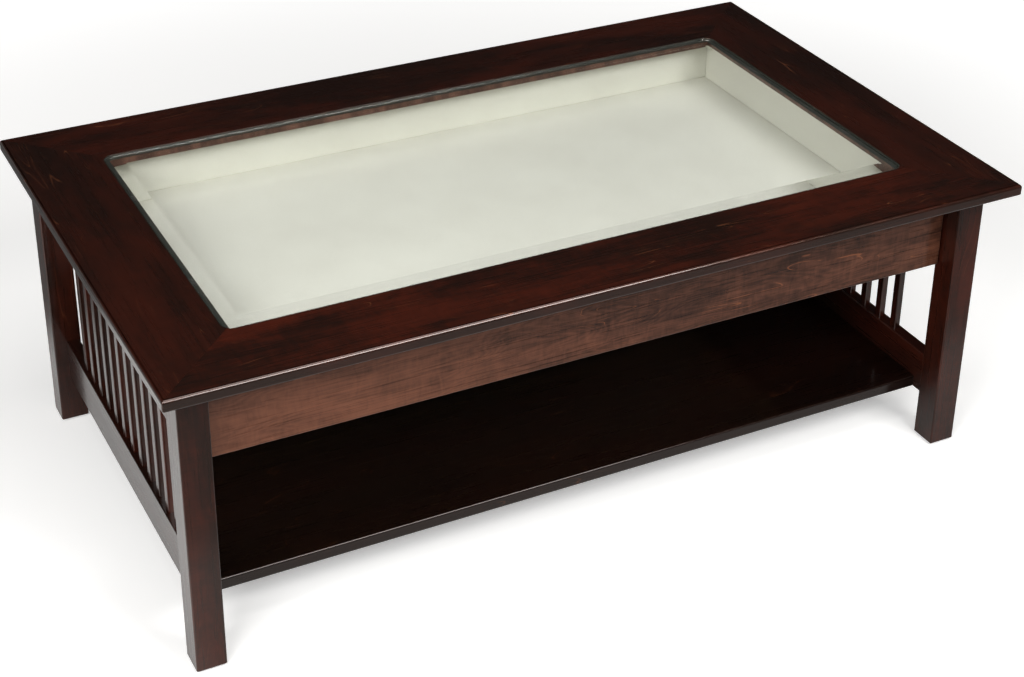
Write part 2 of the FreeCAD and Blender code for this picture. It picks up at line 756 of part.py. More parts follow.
def loose_tenons():
    """The keys between the lower rails and the shelf, and between the upper rails and the stretcher."""
    rows = {
        "shelf": ("lower_rail_inner_x", "lower_rail_bottom + shelf_thickness / 2", "key_width",
                  shelf_keys()),
        "stretcher": ("upper_rail_inner_x", "upper_rail_bottom + stretcher_thickness / 2",
                      "stretcher_key_width", ["-stretcher_middle_y"]),
    }
    keys = []
    for name, (face, z, width, places) in rows.items():
        for side, sign in SIDES.items():
            ends = [f"{sign} * ({face} + key_in_rail)", f"{sign} * ({face} - key_in_board)"]
            for place, y in enumerate(places, 1):
                keys.append(block(f"key_{name}_{side}_{place}", sorted(ends, key=number),
                                  (f"{y} - {width} / 2", f"{y} + {width} / 2"),
                                  (f"{z} - key_thickness / 2", f"{z} + key_thickness / 2")))
    return keep(group("loose_tenons", keys))


# ---------------------------------------------------------------- the drawer

def front_screw_places():
    return spread("front_screw_count", "front_screw_pitch")


def drawer_front():
    """The plain drawer front, eased all round its face."""
    body = new_body("drawer_front", y="-front_face_y", z="front_bottom")
    half = "(leg_inner_x - front_side_gap)"
    board = new_sketch(body, "board", "XZ_Plane")
    add_rectangle(board, f"-{half}", half, "0", "front_height")
    pad(body, "board", board, "front_thickness", reverse=True)
    ease(body, "edges", "Fillet", lambda edge: stands_at(edge, "y", "0"), "Radius", "front_round")
    centres = [(x, "box_bottom + box_height / 2 - front_bottom") for x in front_screw_places()]
    drill(body, "pilots", "XZ_Plane", "-front_thickness", centres, "screw_diameter + 2 * joint_gap",
          "front_screw_length - box_wall + end_gap", reverse=True)
    return keep(body)


def tail_edges():
    """Low and high edges of each dovetail: at its neck, then at its wide end."""
    edges = []
    for place in range(int(number("tail_count"))):
        middle = f"box_height * ({place} + 1 / 2) / tail_count"
        neck = "tail_width / 2"
        wide = "(tail_width / 2 + tail_flare)"
        edges.append([f"{middle} {step}" for step in (f"- {neck}", f"+ {neck}", f"- {wide}", f"+ {wide}")])
    return edges


def box_side(side):
    """A side of the drawer box, with tails at both ends and a groove for the bottom."""
    sign = SIDES[side]
    body = new_body(f"drawer_side_{side}", f"{sign} * box_outer_x", "-box_front_y", "box_bottom")
    outline = [("box_wall", "0")]
    for low_neck, high_neck, low_wide, high_wide in tail_edges():
        outline += [("box_wall", low_neck), ("0", low_wide), ("0", high_wide), ("box_wall", high_neck)]
    outline.append(("box_wall", "box_height"))
    far = "(box_depth - box_wall)"
    outline.append((far, "box_height"))
    for low_neck, high_neck, low_wide, high_wide in reversed(tail_edges()):
        outline += [(far, high_neck), ("box_depth", high_wide), ("box_depth", low_wide), (far, low_neck)]
    outline.append((far, "0"))
    board = new_sketch(body, "board", "YZ_Plane")
    add_outline(board, outline)
    pad(body, "board", board, "box_wall", reverse=side == "right")
    groove = new_sketch(body, "groove", "YZ_Plane", f"-{sign} * box_wall")
    add_rectangle(groove, "box_wall - groove_depth", "box_depth - box_wall + groove_depth",
                  "groove_height", "groove_height + bottom_thickness + joint_gap")
    pocket(body, "groove", groove, "groove_depth", reverse=side == "right")
    return keep(body)


def box_end(end):
    """The front or back wall of the drawer box, with sockets for the tails."""
    sign = ENDS[end]
    outer_y = "-box_front_y" if end == "front" else "box_back_y"
    body = new_body("drawer_box_" + end, y=outer_y, z="box_bottom")
    board = new_sketch(body, "board", "XZ_Plane")
    add_rectangle(board, "-box_outer_x", "box_outer_x", "0", "box_height")
    pad(body, "board", board, "box_wall", reverse=end == "front")
    sockets = new_sketch(body, "sockets", "YZ_Plane", "box_outer_x")
    for low_neck, high_neck, low_wide, high_wide in tail_edges():
        neck = f"-{sign} * box_wall"
        add_outline(sockets, [("0", low_wide), (neck, low_neck), (neck, high_neck), ("0", high_wide)])
    cut = pocket(body, "sockets", sockets, "box_wall")
    mirror = body.newObject("PartDesign::Mirrored", body.Name + "_mirrored_sockets")
    mirror.Originals = [cut]
    mirror.MirrorPlane = (origin_feature(body, "YZ_Plane"), [""])
    body.Tip = mirror
    cuts.append((cut, mirror))
    groove = new_sketch(body, "groove", "XZ_Plane", f"{sign} * box_wall")
    reach = "(box_inner_x + groove_depth)"
    add_rectangle(groove, f"-{reach}", reach,
                  "groove_height", "groove_height + bottom_thickness + joint_gap")
    pocket(body, "groove", groove, "groove_depth", reverse=end == "front")
    if end == "front":
        centres = [(x, "box_height / 2") for x in front_screw_places()]
        drill(body, "screw_holes", "XZ_Plane", "0", centres, "screw_diameter + 2 * joint_gap", "box_wall")
        ease(body, "sinks", "Chamfer", lambda edge: is_round(edge) and stands_at(edge, "y", "box_wall"),
             "Size", "screw_head_height")
    return keep(body)


def drawer_bottom():
    """The bottom panel, held in the grooves all round."""
    body = new_body("drawer_bottom", z="box_bottom + groove_height")
    panel = new_sketch(body, "panel", "XY_Plane")
    reach = "(groove_depth - end_gap)"
    add_rectangle(panel, f"-(box_inner_x + {reach})", f"box_inner_x + {reach}",
                  f"-(tray_front_y + {reach})", f"tray_back_y + {reach}")
    pad(body, "panel", panel, "bottom_thickness")
    return keep(body)


def linings():
    """Fabric-covered boards: one on the floor and four on the walls of the display tray."""
    low, high = "tray_floor", "tray_floor + floor_lining"
    inner = "(box_inner_x - lining_gap)"
    floor = block("floor_lining", (f"-{inner}", inner),
                  ("-tray_front_y + lining_gap", "tray_back_y - lining_gap"), (low, high))
    keep(floor)
    height = (high, f"{high} + lining_height")
    front = ("-tray_front_y", "-tray_front_y + wall_lining")
    back = ("tray_back_y - wall_lining", "tray_back_y")
    between = ("-tray_front_y + wall_lining + lining_gap", "tray_back_y - wall_lining - lining_gap")
    walls = [block("wall_lining_front", (f"-{inner}", inner), front, height),
             block("wall_lining_back", (f"-{inner}", inner), back, height),
             block("wall_lining_left", ("-box_inner_x", "-box_inner_x + wall_lining"), between, height),
             block("wall_lining_right", ("box_inner_x - wall_lining", "box_inner_x"), between, height)]
    keep(group("wall_linings", walls))


# ---------------------------------------------------------------- the slides

def channel(name, side, web, flange_tip, half):
    """A folded channel along the slide: a web with a flange at its top and bottom."""
    sign = SIDES[side]
    body = new_body(name, f"{sign} * upper_rail_inner_x", "-slide_front_y", "slide_z")
    opens = 1 if number(flange_tip) > number(web) else -1
    inner_web = f"{web} + {opens} * slide_sheet"
    section = [(web, f"-{half}"), (flange_tip, f"-{half}"), (flange_tip, f"-{half} + slide_sheet"),
               (inner_web, f"-{half} + slide_sheet"), (inner_web, f"{half} - slide_sheet"),
               (flange_tip, f"{half} - slide_sheet"), (flange_tip, half), (web, half)]
    profile = new_sketch(body, "section", "XZ_Plane")
    add_outline(profile, [(f"-{sign} * ({x})", z) for x, z in section])
    pad(body, "channel", profile, "slide_length", reverse=True)
    return body


def slide_outer(side):
    """The member on the rail."""
    return keep(channel(f"slide_outer_{side}", side, "0", "outer_flange", "outer_half"))


def slide_inner(side):
    """The member on the drawer."""
    return keep(channel(f"slide_inner_{side}", side, "slide_depth", "slide_depth - inner_flange",
                        "inner_half"))


def slide_middle(side):
    """The member between them, with the bearing cages that run in its races."""
    sign = SIDES[side]
    web = channel(f"slide_channel_{side}", side,
                  "middle_start", "middle_start + middle_flange", "middle_half")
    x_middle = "(middle_start + slide_sheet + (middle_flange - slide_sheet) / 2)"
    x = sorted([f"{sign} * (upper_rail_inner_x - {x_middle} - cage_width / 2)",
                f"{sign} * (upper_rail_inner_x - {x_middle} + cage_width / 2)"], key=number)
    rear = ("slide_length - slide_front_y - cage_length", "slide_length - slide_front_y")
    front = ("-slide_front_y", "-slide_front_y + cage_length")
    inside = "(middle_half - slide_sheet)"
    thick = "(ball_race - cage_gap)"
    cages = [
        block(f"cage_top_{side}", x, rear, ("slide_z + middle_half", f"slide_z + middle_half + {thick}")),
        block(f"cage_foot_{side}", x, rear, (f"slide_z - middle_half - {thick}", "slide_z - middle_half")),
        block(f"cage_high_{side}", x, front, (f"slide_z + {inside} - {thick}", f"slide_z + {inside}")),
        block(f"cage_low_{side}", x, front, (f"slide_z - {inside}", f"slide_z - {inside} + {thick}")),
    ]
    return keep(group(f"slide_middle_{side}", [web] + cages))


# ---------------------------------------------------------------- screws and clips

def screw(name, place, axis, length, head_height, sunk):
    """A screw along an axis: a sunk cone or a low round head, then a plain shank."""
    shank = "screw_diameter / 2"
    if sunk:
        sizes = {"Radius1": "screw_head / 2", "Radius2": shank, "Height": head_height}
        head = primitive("Cone", name + "_head", sizes, *place, axis)
    else:
        sizes = {"Radius": "screw_head / 2", "Height": head_height}
        head = primitive("Cylinder", name + "_head", sizes, *place, axis)
    start = [f"{where} + {step} * {head_height}" for where, step in zip(place, axis)]
    sizes = {"Radius": shank, "Height": f"{length} - {head_height}"}
    stem = primitive("Cylinder", name + "_stem", sizes, *start, axis)
    return boolean("Fuse", name, Base=head, Tool=stem)


def clip(name, rail, along):
    """A bent steel clip: a foot under the top, a riser on the rail and a tab in its kerf."""
    sign = -1 if rail == "left" else 1
    if rail == "back":
        body = new_body(name, along, "apron_inner_y", "frame_underside")
        profile = new_sketch(body, "profile", "YZ_Plane", "-clip_width / 2")
    else:
        body = new_body(name, f"{sign} * upper_rail_inner_x", along, "frame_underside")
        profile = new_sketch(body, "profile", "XZ_Plane", "-clip_width / 2")
    low = "-clip_drop"
    outline = [("-clip_foot", "0"), ("-clip_foot", "-clip_sheet"), ("-clip_sheet", "-clip_sheet"),
               ("-clip_sheet", low), ("clip_tab", low), ("clip_tab", f"{low} + clip_sheet"),
               ("0", f"{low} + clip_sheet"), ("0", "0")]
    add_outline(profile, [(f"{sign} * {across}", z) for across, z in outline])
    pad(body, "strip", profile, "clip_width")
    hole = ("0", "-clip_foot / 2") if rail == "back" else (f"-{sign} * clip_foot / 2", "0")
    drill(body, "hole", "XY_Plane", "0", [hole], "screw_diameter + 2 * joint_gap", "clip_sheet")
    return body


def table_fasteners():
    """The clips that hold the top to the rails and the apron, with their screws."""
    pieces = []
    for rail, row in clip_rows().items():
        for place, (along, (x, y)) in enumerate(row, 1):
            name = f"clip_{rail}_{place}"
            pieces.append(clip(name, rail, along))
            head = (x, y, "frame_underside - clip_sheet - clip_head_height")
            pieces.append(screw(name + "_screw", head, (0, 0, 1),
                                "clip_screw_length + clip_head_height", "clip_head_height", sunk=False))
    return keep(group("table_fasteners", pieces))


def drawer_screws():
    """The screws that hold the drawer front to its box."""
    pieces = []
    for place, x in enumerate(front_screw_places(), 1):
        head = (x, "-tray_front_y", "box_bottom + box_height / 2")
        pieces.append(screw(f"front_screw_{place}", head, (0, -1, 0),
                            "front_screw_length", "screw_head_height", sunk=True))
    return keep(group("drawer_screws", pieces))


# ---------------------------------------------------------------- the table

def build_table():
    write_sizes()
    for where in ("front", "back", "left", "right"):
        frame_member(where)
    mitre_splines()
    glass_top()
    glass_pads()
    for end in ENDS:
        for side in SIDES:
            leg(end, side)
    leg_glides()
    for side in SIDES:
        lower_rail(side)
        upper_rail(side)
        for place in range(int(number("slat_count"))):
            slat(side, place)
    back_apron()
    drawer_stretcher()
    lower_shelf()
    loose_tenons()
    drawer_front()
    for end in ENDS:
        box_end(end)
    for side in SIDES:
        box_side(side)
    drawer_bottom()
    linings()
    for side in SIDES:
        slide_outer(side)
        slide_middle(side)
        slide_inner(side)
    table_fasteners()
    drawer_screws()
    doc.recompute()


def check_table():
    """Stops before anything is written if a feature failed or a cut removed nothing."""
    for item in doc.Objects:
        if {"Invalid", "Error"} & set(item.State):
            raise RuntimeError(f"{item.Name} failed: {item.State}")
    for before, after in cuts:
        if not after.Shape.Volume < before.Shape.Volume - NEARLY_ZERO:
            raise RuntimeError(f"{after.Name} removed nothing")
    for node in nodes:
        if node.Shape.isNull() or not node.Shape.isValid() or not node.Shape.Solids:
            raise RuntimeError(f"{node.Label} has no valid solid")


def write_parts():
    os.makedirs("parts", exist_ok=True)
    for node in nodes:
        node.Shape.exportStep(f"parts/{node.Label}.step")
    print(len(nodes), "nodes")


build_table()
check_table()
write_parts()
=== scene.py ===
import math

import bpy
from bpy.props import FloatProperty, FloatVectorProperty, IntProperty, PointerProperty
from mathutils import Euler, Matrix, Vector


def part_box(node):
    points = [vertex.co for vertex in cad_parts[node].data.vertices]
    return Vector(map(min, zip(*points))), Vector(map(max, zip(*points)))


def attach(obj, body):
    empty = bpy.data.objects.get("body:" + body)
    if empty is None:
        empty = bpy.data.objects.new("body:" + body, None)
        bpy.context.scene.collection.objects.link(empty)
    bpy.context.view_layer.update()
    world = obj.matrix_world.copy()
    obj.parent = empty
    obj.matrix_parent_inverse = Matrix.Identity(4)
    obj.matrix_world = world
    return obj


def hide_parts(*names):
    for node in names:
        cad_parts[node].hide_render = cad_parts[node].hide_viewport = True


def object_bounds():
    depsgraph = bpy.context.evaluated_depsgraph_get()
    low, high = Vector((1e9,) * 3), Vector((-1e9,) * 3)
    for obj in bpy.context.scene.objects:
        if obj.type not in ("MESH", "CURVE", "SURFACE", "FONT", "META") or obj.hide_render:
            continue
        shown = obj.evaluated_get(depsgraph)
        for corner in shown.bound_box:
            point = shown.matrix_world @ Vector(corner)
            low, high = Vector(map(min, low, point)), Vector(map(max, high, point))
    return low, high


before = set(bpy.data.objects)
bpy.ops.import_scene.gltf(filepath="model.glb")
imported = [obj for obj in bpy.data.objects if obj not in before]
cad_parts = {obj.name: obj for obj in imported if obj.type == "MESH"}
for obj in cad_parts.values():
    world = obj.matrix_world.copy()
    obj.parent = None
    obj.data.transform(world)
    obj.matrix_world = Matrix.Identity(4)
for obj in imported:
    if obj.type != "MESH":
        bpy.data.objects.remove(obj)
cad_low, cad_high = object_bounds()

bl_info = {
    "name": "Collectors Display Table",
    "version": (1, 0, 0),
    "blender": (4, 5, 0),
    "location": "View3D > Sidebar > Display Table",
    "description": "Top boards, linings, finishes and a studio for a glass-topped display table",
    "category": "Object",
}

MM = 0.001
NEAR = 0.00001              # places closer than this count as one
LEDGE_GAP = 0.8 * MM        # from the glass to the wood round it
ABOVE_GLASS = 5 * MM        # how far the cut for the glass rises over it
RABBET_CORNER = 17 * MM     # round of the ledge's corners
MITRE_GAP = 0.08 * MM       # cut off each mitre, so that the joint shows as a fine line
FABRIC_HEM = 4 * MM         # undivided strip along a covered board's edges
FABRIC_MARGIN = 5 * MM      # the fabric lies flat this near to an edge
RIPPLE_SCALE = 0.09         # scale of the fabric's rise and fall
WALL_THICKNESS = 2 * MM     # of the covered boards of the tray's walls
WALL_GAP = 0.3 * MM         # between those boards at the tray's corners
SLIDE_SHEET = 1.2 * MM      # sheet steel of the slides
HEAD_ROUND = 0.4            # round of a screw's head, to the head's height
RECESS_LENGTH = 0.55        # of a screw's cross recess, to the head's diameter
RECESS_WIDTH = 0.11         # of the recess's arms, to the head's diameter
RECESS_DEPTH = 0.5          # of the recess, to the head's height
SIDES = {"left": -1, "right": 1}
ENDS = {"front": -1, "back": 1}
SLATS = [name for name in sorted(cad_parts) if name.startswith("slat_")]


# ---------------------------------------------------------------- settings

def colour(label, note, value):
    return FloatVectorProperty(name=label, description=note, default=value,
                               subtype="COLOR", size=3, min=0, max=1)


def length(label, note, value):
    return FloatProperty(name=label, description=note, default=value,
                         unit="LENGTH", precision=4)


def share(label, note, value):
    return FloatProperty(name=label, description=note, default=value, min=0, max=1)


def amount(label, note, value):
    return FloatProperty(name=label, description=note, default=value)


def angle(label, note, degrees):
    return FloatProperty(name=label, description=note, default=math.radians(degrees),
                         subtype="ANGLE")


class DISPLAYTABLE_PG_wood(bpy.types.PropertyGroup):
    """The stained maple outside and the pale wood of the drawer's box."""

    dark: colour("Dark stain", "Where the stain lies deepest", (0.0105, 0.0042, 0.0029))
    red: colour("Red stain", "Where the wood glows through the stain", (0.060, 0.0098, 0.0044))
    brown: colour("Brown stain", "The lighter stain of the drawer's front", (0.150, 0.055, 0.030))
    # painted light: the opening's inner faces get this lighter brown for the light from the front on
    # them
    opening_painted_light: colour("Thin stain", "The stain on the opening's inner faces", (0.115, 0.058, 0.042))
    line: colour("Growth lines", "Thin lines that took little stain", (0.30, 0.10, 0.040))
    pale: colour("Pale wood", "The lacquered wood of the drawer's box", (0.56, 0.36, 0.19))
    pale_dark: colour("Pale wood grain", "Its darker grain", (0.40, 0.22, 0.10))
    roughness: share("Wood roughness", "Roughness of the wood under its lacquer", 0.30)
    lacquer: share("Lacquer", "Weight of the lacquer", 0.8)
    gloss: share("Lacquer roughness", "Roughness of the lacquer", 0.12)
    corner: length("Corner round", "Radius of the top's upright corners", 0.003)
    top_edge: length("Upper edge round", "Radius of the top's upper edge", 0.0045)
    low_edge: length("Lower edge round", "Radius of the top's lower edge", 0.003)
    ledge: colour("Ledge", "Paint on the ledge under the glass", (0.034, 0.038, 0.033))
    tint: colour("Sheen tint", "Tint of the wood's own sheen, under the lacquer", (1.0, 0.62, 0.48))


class DISPLAYTABLE_PG_lining(bpy.types.PropertyGroup):
    """The fabric-covered boards of the display tray."""

    light: colour("Fabric", "The fabric's colour", (0.78, 0.775, 0.69))
    shade: colour("Fabric shade", "The fabric's colour between its threads", (0.70, 0.69, 0.61))
    thread: length("Thread pitch", "Distance from thread to thread", 0.0007)
    fold: length("Wrapped edge", "Radius of the fabric where it wraps a board", 0.0007)


class DISPLAYTABLE_PG_fittings(bpy.types.PropertyGroup):
    """The glass, the steel and the plastic."""

    glass: colour("Glass", "Tint of the glass", (0.990, 0.996, 0.990))
    glass_rim: colour("Glass rim", "Tint of the glass at its ground edge", (0.34, 0.38, 0.33))
    steel: colour("Steel", "Zinc-plated steel", (0.56, 0.56, 0.54))
    nylon: colour("Nylon", "The glides under the legs", (0.035, 0.026, 0.020))
    pad: colour("Pads", "The clear pads under the glass", (0.80, 0.80, 0.76))
    screw_head: length("Screw head", "Diameter of a slide screw's head", 0.0068)
    screw_rise: length("Head height", "Height of a slide screw's head", 0.0012)
    screws: IntProperty(name="Screws", description="Screws in each slide member", default=3, min=2)
    screw_margin: length("Screw margin", "From a slide's end to its first screw", 0.035)


class DISPLAYTABLE_PG_stage(bpy.types.PropertyGroup):
    """The camera, the lamps and the floor."""

    azimuth: angle("Azimuth", "Direction of view, turned from +Y towards +X", 27.066)
    elevation: angle("Elevation", "How far the camera looks down", 27.625)
    roll: angle("Roll", "Turn of the camera about its own axis", 0.641)
    place: FloatVectorProperty(name="Camera place", description="Where the camera stands",
                               default=(-1.0991, -2.1816, 1.6627), subtype="TRANSLATION",
                               unit="LENGTH")
    lens: amount("Focal length", "Focal length in millimetres", 69.25)
    shift: amount("Shift", "Vertical shift of the lens", -0.14)
    key: amount("Key lamp", "Power of the lamp before the front", 56)
    fill: amount("Fill lamp", "Power of the lamp before the left corner", 62)
    top: amount("Overhead lamp", "Power of the overhead lamp", 42)
    sky: amount("Sky", "Brightness of the surroundings overhead", 0.008)
    horizon: amount("Horizon", "Brightness of the surroundings at the floor's level", 0.95)
    floor: colour("Floor", "Colour of the floor", (0.91, 0.90, 0.88))
    # the floor glow also makes a painted reflection: the wood mirrors the floor left of the table
    # glowing
    glow: amount("Floor glow", "Light that the floor is seen to give by the table", 0.35)
    dim: amount("Dim floor", "Share of the floor's brightness that the wood mirrors before "
                "and behind the table", 0.22)


GROUPS = {
    "wood": DISPLAYTABLE_PG_wood,
    "lining": DISPLAYTABLE_PG_lining,
    "fittings": DISPLAYTABLE_PG_fittings,
    "stage": DISPLAYTABLE_PG_stage,
}


def look(group):
    return getattr(bpy.context.scene, "display_table_" + group)


# ---------------------------------------------------------------- node helpers

class Graph:
    """A node tree with short ways to add and join its nodes."""

    def __init__(self, tree):
        self.tree = tree
        self.tree.nodes.clear()

    def add(self, kind, values=(), **settings):
        node = self.tree.nodes.new(kind)
        for name, value in settings.items():
            setattr(node, name, value)
        for name, value in dict(values).items():
            self.feed(node.inputs[name], value)
        return node

    def feed(self, socket, value):
        if isinstance(value, bpy.types.NodeSocket):
            self.tree.links.new(value, socket)
        elif hasattr(value, "__len__") and socket.type == "RGBA":
            socket.default_value = (*value, 1)[:4]
        else:
            socket.default_value = value

    def math(self, operation, *values, clamp=False):
        node = self.add("ShaderNodeMath", operation=operation, use_clamp=clamp)
        for socket, value in zip(node.inputs, values):
            self.feed(socket, value)
        return node.outputs[0]

    def mix(self, factor, first, second, blend="MIX"):
        node = self.add("ShaderNodeMix", data_type="RGBA", blend_type=blend)
        # of a mix node's many sockets, these are the factor and the two colours
        for place, value in zip((0, 6, 7), (factor, first, second)):
            self.feed(node.inputs[place], value)
        return node.outputs[2]

    def span(self, value, low, high, to_low=0.0, to_high=1.0):
        """A value spread from one range to another, smoothly and held at the ends."""
        node = self.add("ShaderNodeMapRange", interpolation_type="SMOOTHSTEP")
        for name, given in zip(("Value", "From Min", "From Max", "To Min", "To Max"),
                               (value, low, high, to_low, to_high)):
            self.feed(node.inputs[name], given)
        return node.outputs[0]

    def stretch(self, vector, scale, place=(0, 0, 0), turn=(0, 0, 0)):
        values = {"Vector": vector, "Scale": scale, "Location": place, "Rotation": turn}
        return self.add("ShaderNodeMapping", values).outputs[0]

    def noise(self, vector, scale, detail=2.0, rough=0.5, twist=0.0):
        values = {"Vector": vector, "Scale": scale, "Detail": detail, "Roughness": rough,
                  "Distortion": twist}
        return self.add("ShaderNodeTexNoise", values).outputs[0]

    def streaks(self, vector, scale, *settings, place=(0, 0, 0)):
        """Noise drawn out by a scale for each axis, with the settings that noise takes."""
        return self.noise(self.stretch(vector, scale, place), *settings)


def new_group(name, inputs, outputs):
    """An empty node group's graph, with the sockets that it is given and those that it makes."""
    tree = bpy.data.node_groups.new(name, "ShaderNodeTree")
    for label, kind in inputs:
        tree.interface.new_socket(label, in_out="INPUT", socket_type="NodeSocket" + kind)
    for label, kind in outputs:
        tree.interface.new_socket(label, in_out="OUTPUT", socket_type="NodeSocket" + kind)
    graph = Graph(tree)
    return graph, graph.add("NodeGroupInput").outputs, graph.add("NodeGroupOutput").inputs


def make_grain_group():
    """Maple with its grain along X: clouds of stain, fibres, a flowing figure and growth lines."""
    graph, given, made = new_group(
        "Maple grain",
        [("Vector", "Vector"), ("Dark", "Color"), ("Glow", "Color"), ("Line", "Color"),
         ("Depth", "Float"), ("Contrast", "Float"), ("Glow Amount", "Float"),
         ("Blotch Amount", "Float"), ("Figure Amount", "Float"), ("Line Amount", "Float")],
        [("Color", "Color"), ("Height", "Float"), ("Roughness", "Float")])
    vector = given["Vector"]
    # the figure and the growth lines are contours of one slow field
    field = graph.streaks(vector, (3.2, 19, 19), 1.0, 1.6, 0.45, 0.5)
    figure = graph.math("PINGPONG", graph.math("MULTIPLY", field, 42.0), 1.0)
    blotch = graph.streaks(vector, (2.2, 8, 8), 1.3, 3, 0.55, 0.4)
    cloud = graph.streaks(vector, (8, 26, 26), 1.2, 3, 0.55, 0.8)
    fibre = graph.streaks(vector, (7, 330, 330), 1.0, 3, 0.6, 0.3)
    curl = graph.streaks(vector, (85, 24, 24), 1.0, 3, 0.55, 1.4)
    layers = ((blotch, given["Blotch Amount"]), (cloud, 1.0), (fibre, 0.65), (curl, 0.55),
              (figure, graph.math("MULTIPLY", given["Figure Amount"], 0.5)))
    change = 0.0
    for layer, weight in layers:
        change = graph.math("MULTIPLY_ADD", graph.math("SUBTRACT", layer, 0.5), weight, change)
    depth = graph.math("MULTIPLY_ADD", change, given["Contrast"], given["Depth"])
    depth = graph.span(depth, 0.0, 1.1)
    depth = graph.math("MULTIPLY", depth, given["Glow Amount"], clamp=True)
    wood = graph.mix(depth, given["Dark"], given["Glow"])
    contour = graph.math("PINGPONG", graph.math("MULTIPLY", field, 15.0), 0.5)
    fine = graph.span(contour, 0.0, 0.045, 1.0, 0.0)
    patch = graph.streaks(vector, (5, 15, 15), 1.6, 2, place=(3.1, 1.7, 0.4))
    patch = graph.span(patch, 0.52, 0.66)
    broken = graph.span(graph.streaks(vector, (34, 48, 48), 1.0, 2), 0.40, 0.55)
    line = graph.math("MULTIPLY", graph.math("MULTIPLY", fine, patch), broken)
    line = graph.math("MULTIPLY", line, given["Line Amount"], clamp=True)
    graph.feed(made["Color"], graph.mix(line, wood, given["Line"]))
    graph.feed(made["Height"], graph.math("ADD", graph.math("MULTIPLY", fibre, 0.6),
                                          graph.math("MULTIPLY", cloud, 0.4)))
    graph.feed(made["Roughness"], graph.span(fibre, 0.2, 0.8, -0.05, 0.05))
    return graph.tree


def make_weave_group():
    """A plain weave across X and Y, with slubs and a soft unevenness."""
    graph, given, made = new_group(
        "Plain weave",
        [("Vector", "Vector"), ("Pitch", "Float"), ("Light", "Color"), ("Shade", "Color")],
        [("Color", "Color"), ("Height", "Float")])
    parts = graph.add("ShaderNodeSeparateXYZ", {"Vector": given["Vector"]})
    turns = graph.math("DIVIDE", 2 * math.pi, given["Pitch"])
    waves = [graph.math("SINE", graph.math("MULTIPLY", parts.outputs[axis], turns)) for axis in (0, 1)]
    weave = graph.math("MULTIPLY", waves[0], waves[1])
    slub = graph.streaks(given["Vector"], (120, 900, 900), 1.0, 2)
    soft = graph.streaks(given["Vector"], (9, 9, 9), 1.0, 3, 0.6)
    height = graph.math("ADD", graph.math("MULTIPLY", weave, 0.35), slub)
    tone = graph.math("ADD", graph.math("MULTIPLY", height, 0.35), graph.math("MULTIPLY", soft, 0.8))
    graph.feed(made["Color"], graph.mix(graph.span(tone, 0.2, 0.85), given["Shade"], given["Light"]))
    graph.feed(made["Height"], height)
    return graph.tree


def node_group(name, maker):
    return bpy.data.node_groups.get(name) or maker()


def place_group(graph, tree, values):
    return graph.add("ShaderNodeGroup", values, node_tree=tree)


def new_material(name):
    material = bpy.data.materials.new(name)
    material.use_nodes = True
    graph = Graph(material.node_tree)
    output = graph.add("ShaderNodeOutputMaterial")
    shader = graph.add("ShaderNodeBsdfPrincipled")
    graph.tree.links.new(shader.outputs[0], output.inputs[0])
    return material, graph, shader


def object_coordinates(graph):
    return graph.add("ShaderNodeTexCoord").outputs["Object"]


def object_axes(graph):
    return graph.add("ShaderNodeSeparateXYZ", {"Vector": object_coordinates(graph)}).outputs


def bump(graph, shader, height, strength, distance):
    node = graph.add("ShaderNodeBump", {"Height": height, "Strength": strength, "Distance": distance})
    graph.feed(shader.inputs["Normal"], node.outputs[0])


def shaded(tint, share):
    """A colour made darker, or lighter as far as white goes."""
    return [min(1, share * part) for part in tint]


# ---------------------------------------------------------------- materials

GRAIN_TURN = {
    "x": (0, 0, 0),
    "y": (0, 0, math.pi / 2),
    "z": (0, math.pi / 2, 0),
}


def stained_maple(grain, place, depth=0.45, contrast=1.0, glow=0.55, figure=0.2, lines=0.5,
                  blotch=2.4, fine=1.0, painted_left_light=0.0, stain="red", shade=1.0, opening=None):
    """Dark stain under a clear lacquer, with the grain along one axis.

    Depth, contrast and glow say how far the wood shows through the stain, and painted_left_light how
    much more it does at the left end, which is painted light: lighter there as where more light falls.
    Figure, lines and blotch weigh the layers, and fine scales them. A board of the top gives the half
    sizes of the frame's opening.
    """
    wood = look("wood")
    dark = shaded(wood.dark, shade)
    material, graph, shader = new_material("stained_maple_" + grain)
    vector = graph.stretch(object_coordinates(graph), (fine, fine, fine), place, GRAIN_TURN[grain])
    # painted light: the wood shows more through the stain towards the left end, lighter there as where
    # more light falls
    if painted_left_light:
        left_end, past_middle = -0.5, 0.15
        depth = graph.span(object_axes(graph)["X"], left_end, past_middle, depth + painted_left_light, depth)
    grained = place_group(graph, node_group("Maple grain", make_grain_group),
                          {"Vector": vector, "Dark": dark, "Glow": getattr(wood, stain),
                           "Line": wood.line, "Depth": depth, "Contrast": contrast,
                           "Glow Amount": glow, "Blotch Amount": blotch,
                           "Figure Amount": figure, "Line Amount": lines})
    tone = grained.outputs["Color"]
    lacquered = wood.lacquer
    if opening:
        lacquered, tone = top_edges(graph, tone, dark, opening)
    graph.feed(shader.inputs["Base Color"], tone)
    rough = graph.math("ADD", grained.outputs["Roughness"], wood.roughness)
    graph.feed(shader.inputs["Roughness"], rough)
    shader.inputs["Specular IOR Level"].default_value = 0.5 if opening else 0.24
    shader.inputs["Specular Tint"].default_value = (*wood.tint, 1)
    graph.feed(shader.inputs["Coat Weight"], lacquered)
    shader.inputs["Coat Roughness"].default_value = wood.gloss
    shader.inputs["Coat IOR"].default_value = 1.6 if opening else 1.5
    bump(graph, shader, grained.outputs["Height"], 0.06, 0.0002)
    return material


def within(graph, half_x, half_y, past=0.0, blur=0.2 * MM):
    """One inside a rectangle that reaches past the given half sizes, seen from above."""
    parts = object_axes(graph)
    inside = [graph.span(graph.math("ABSOLUTE", parts[axis]), edge, edge + blur, 1.0, 0.0)
              for axis, edge in (("X", half_x + past), ("Y", half_y + past))]
    return graph.math("MULTIPLY", *inside)


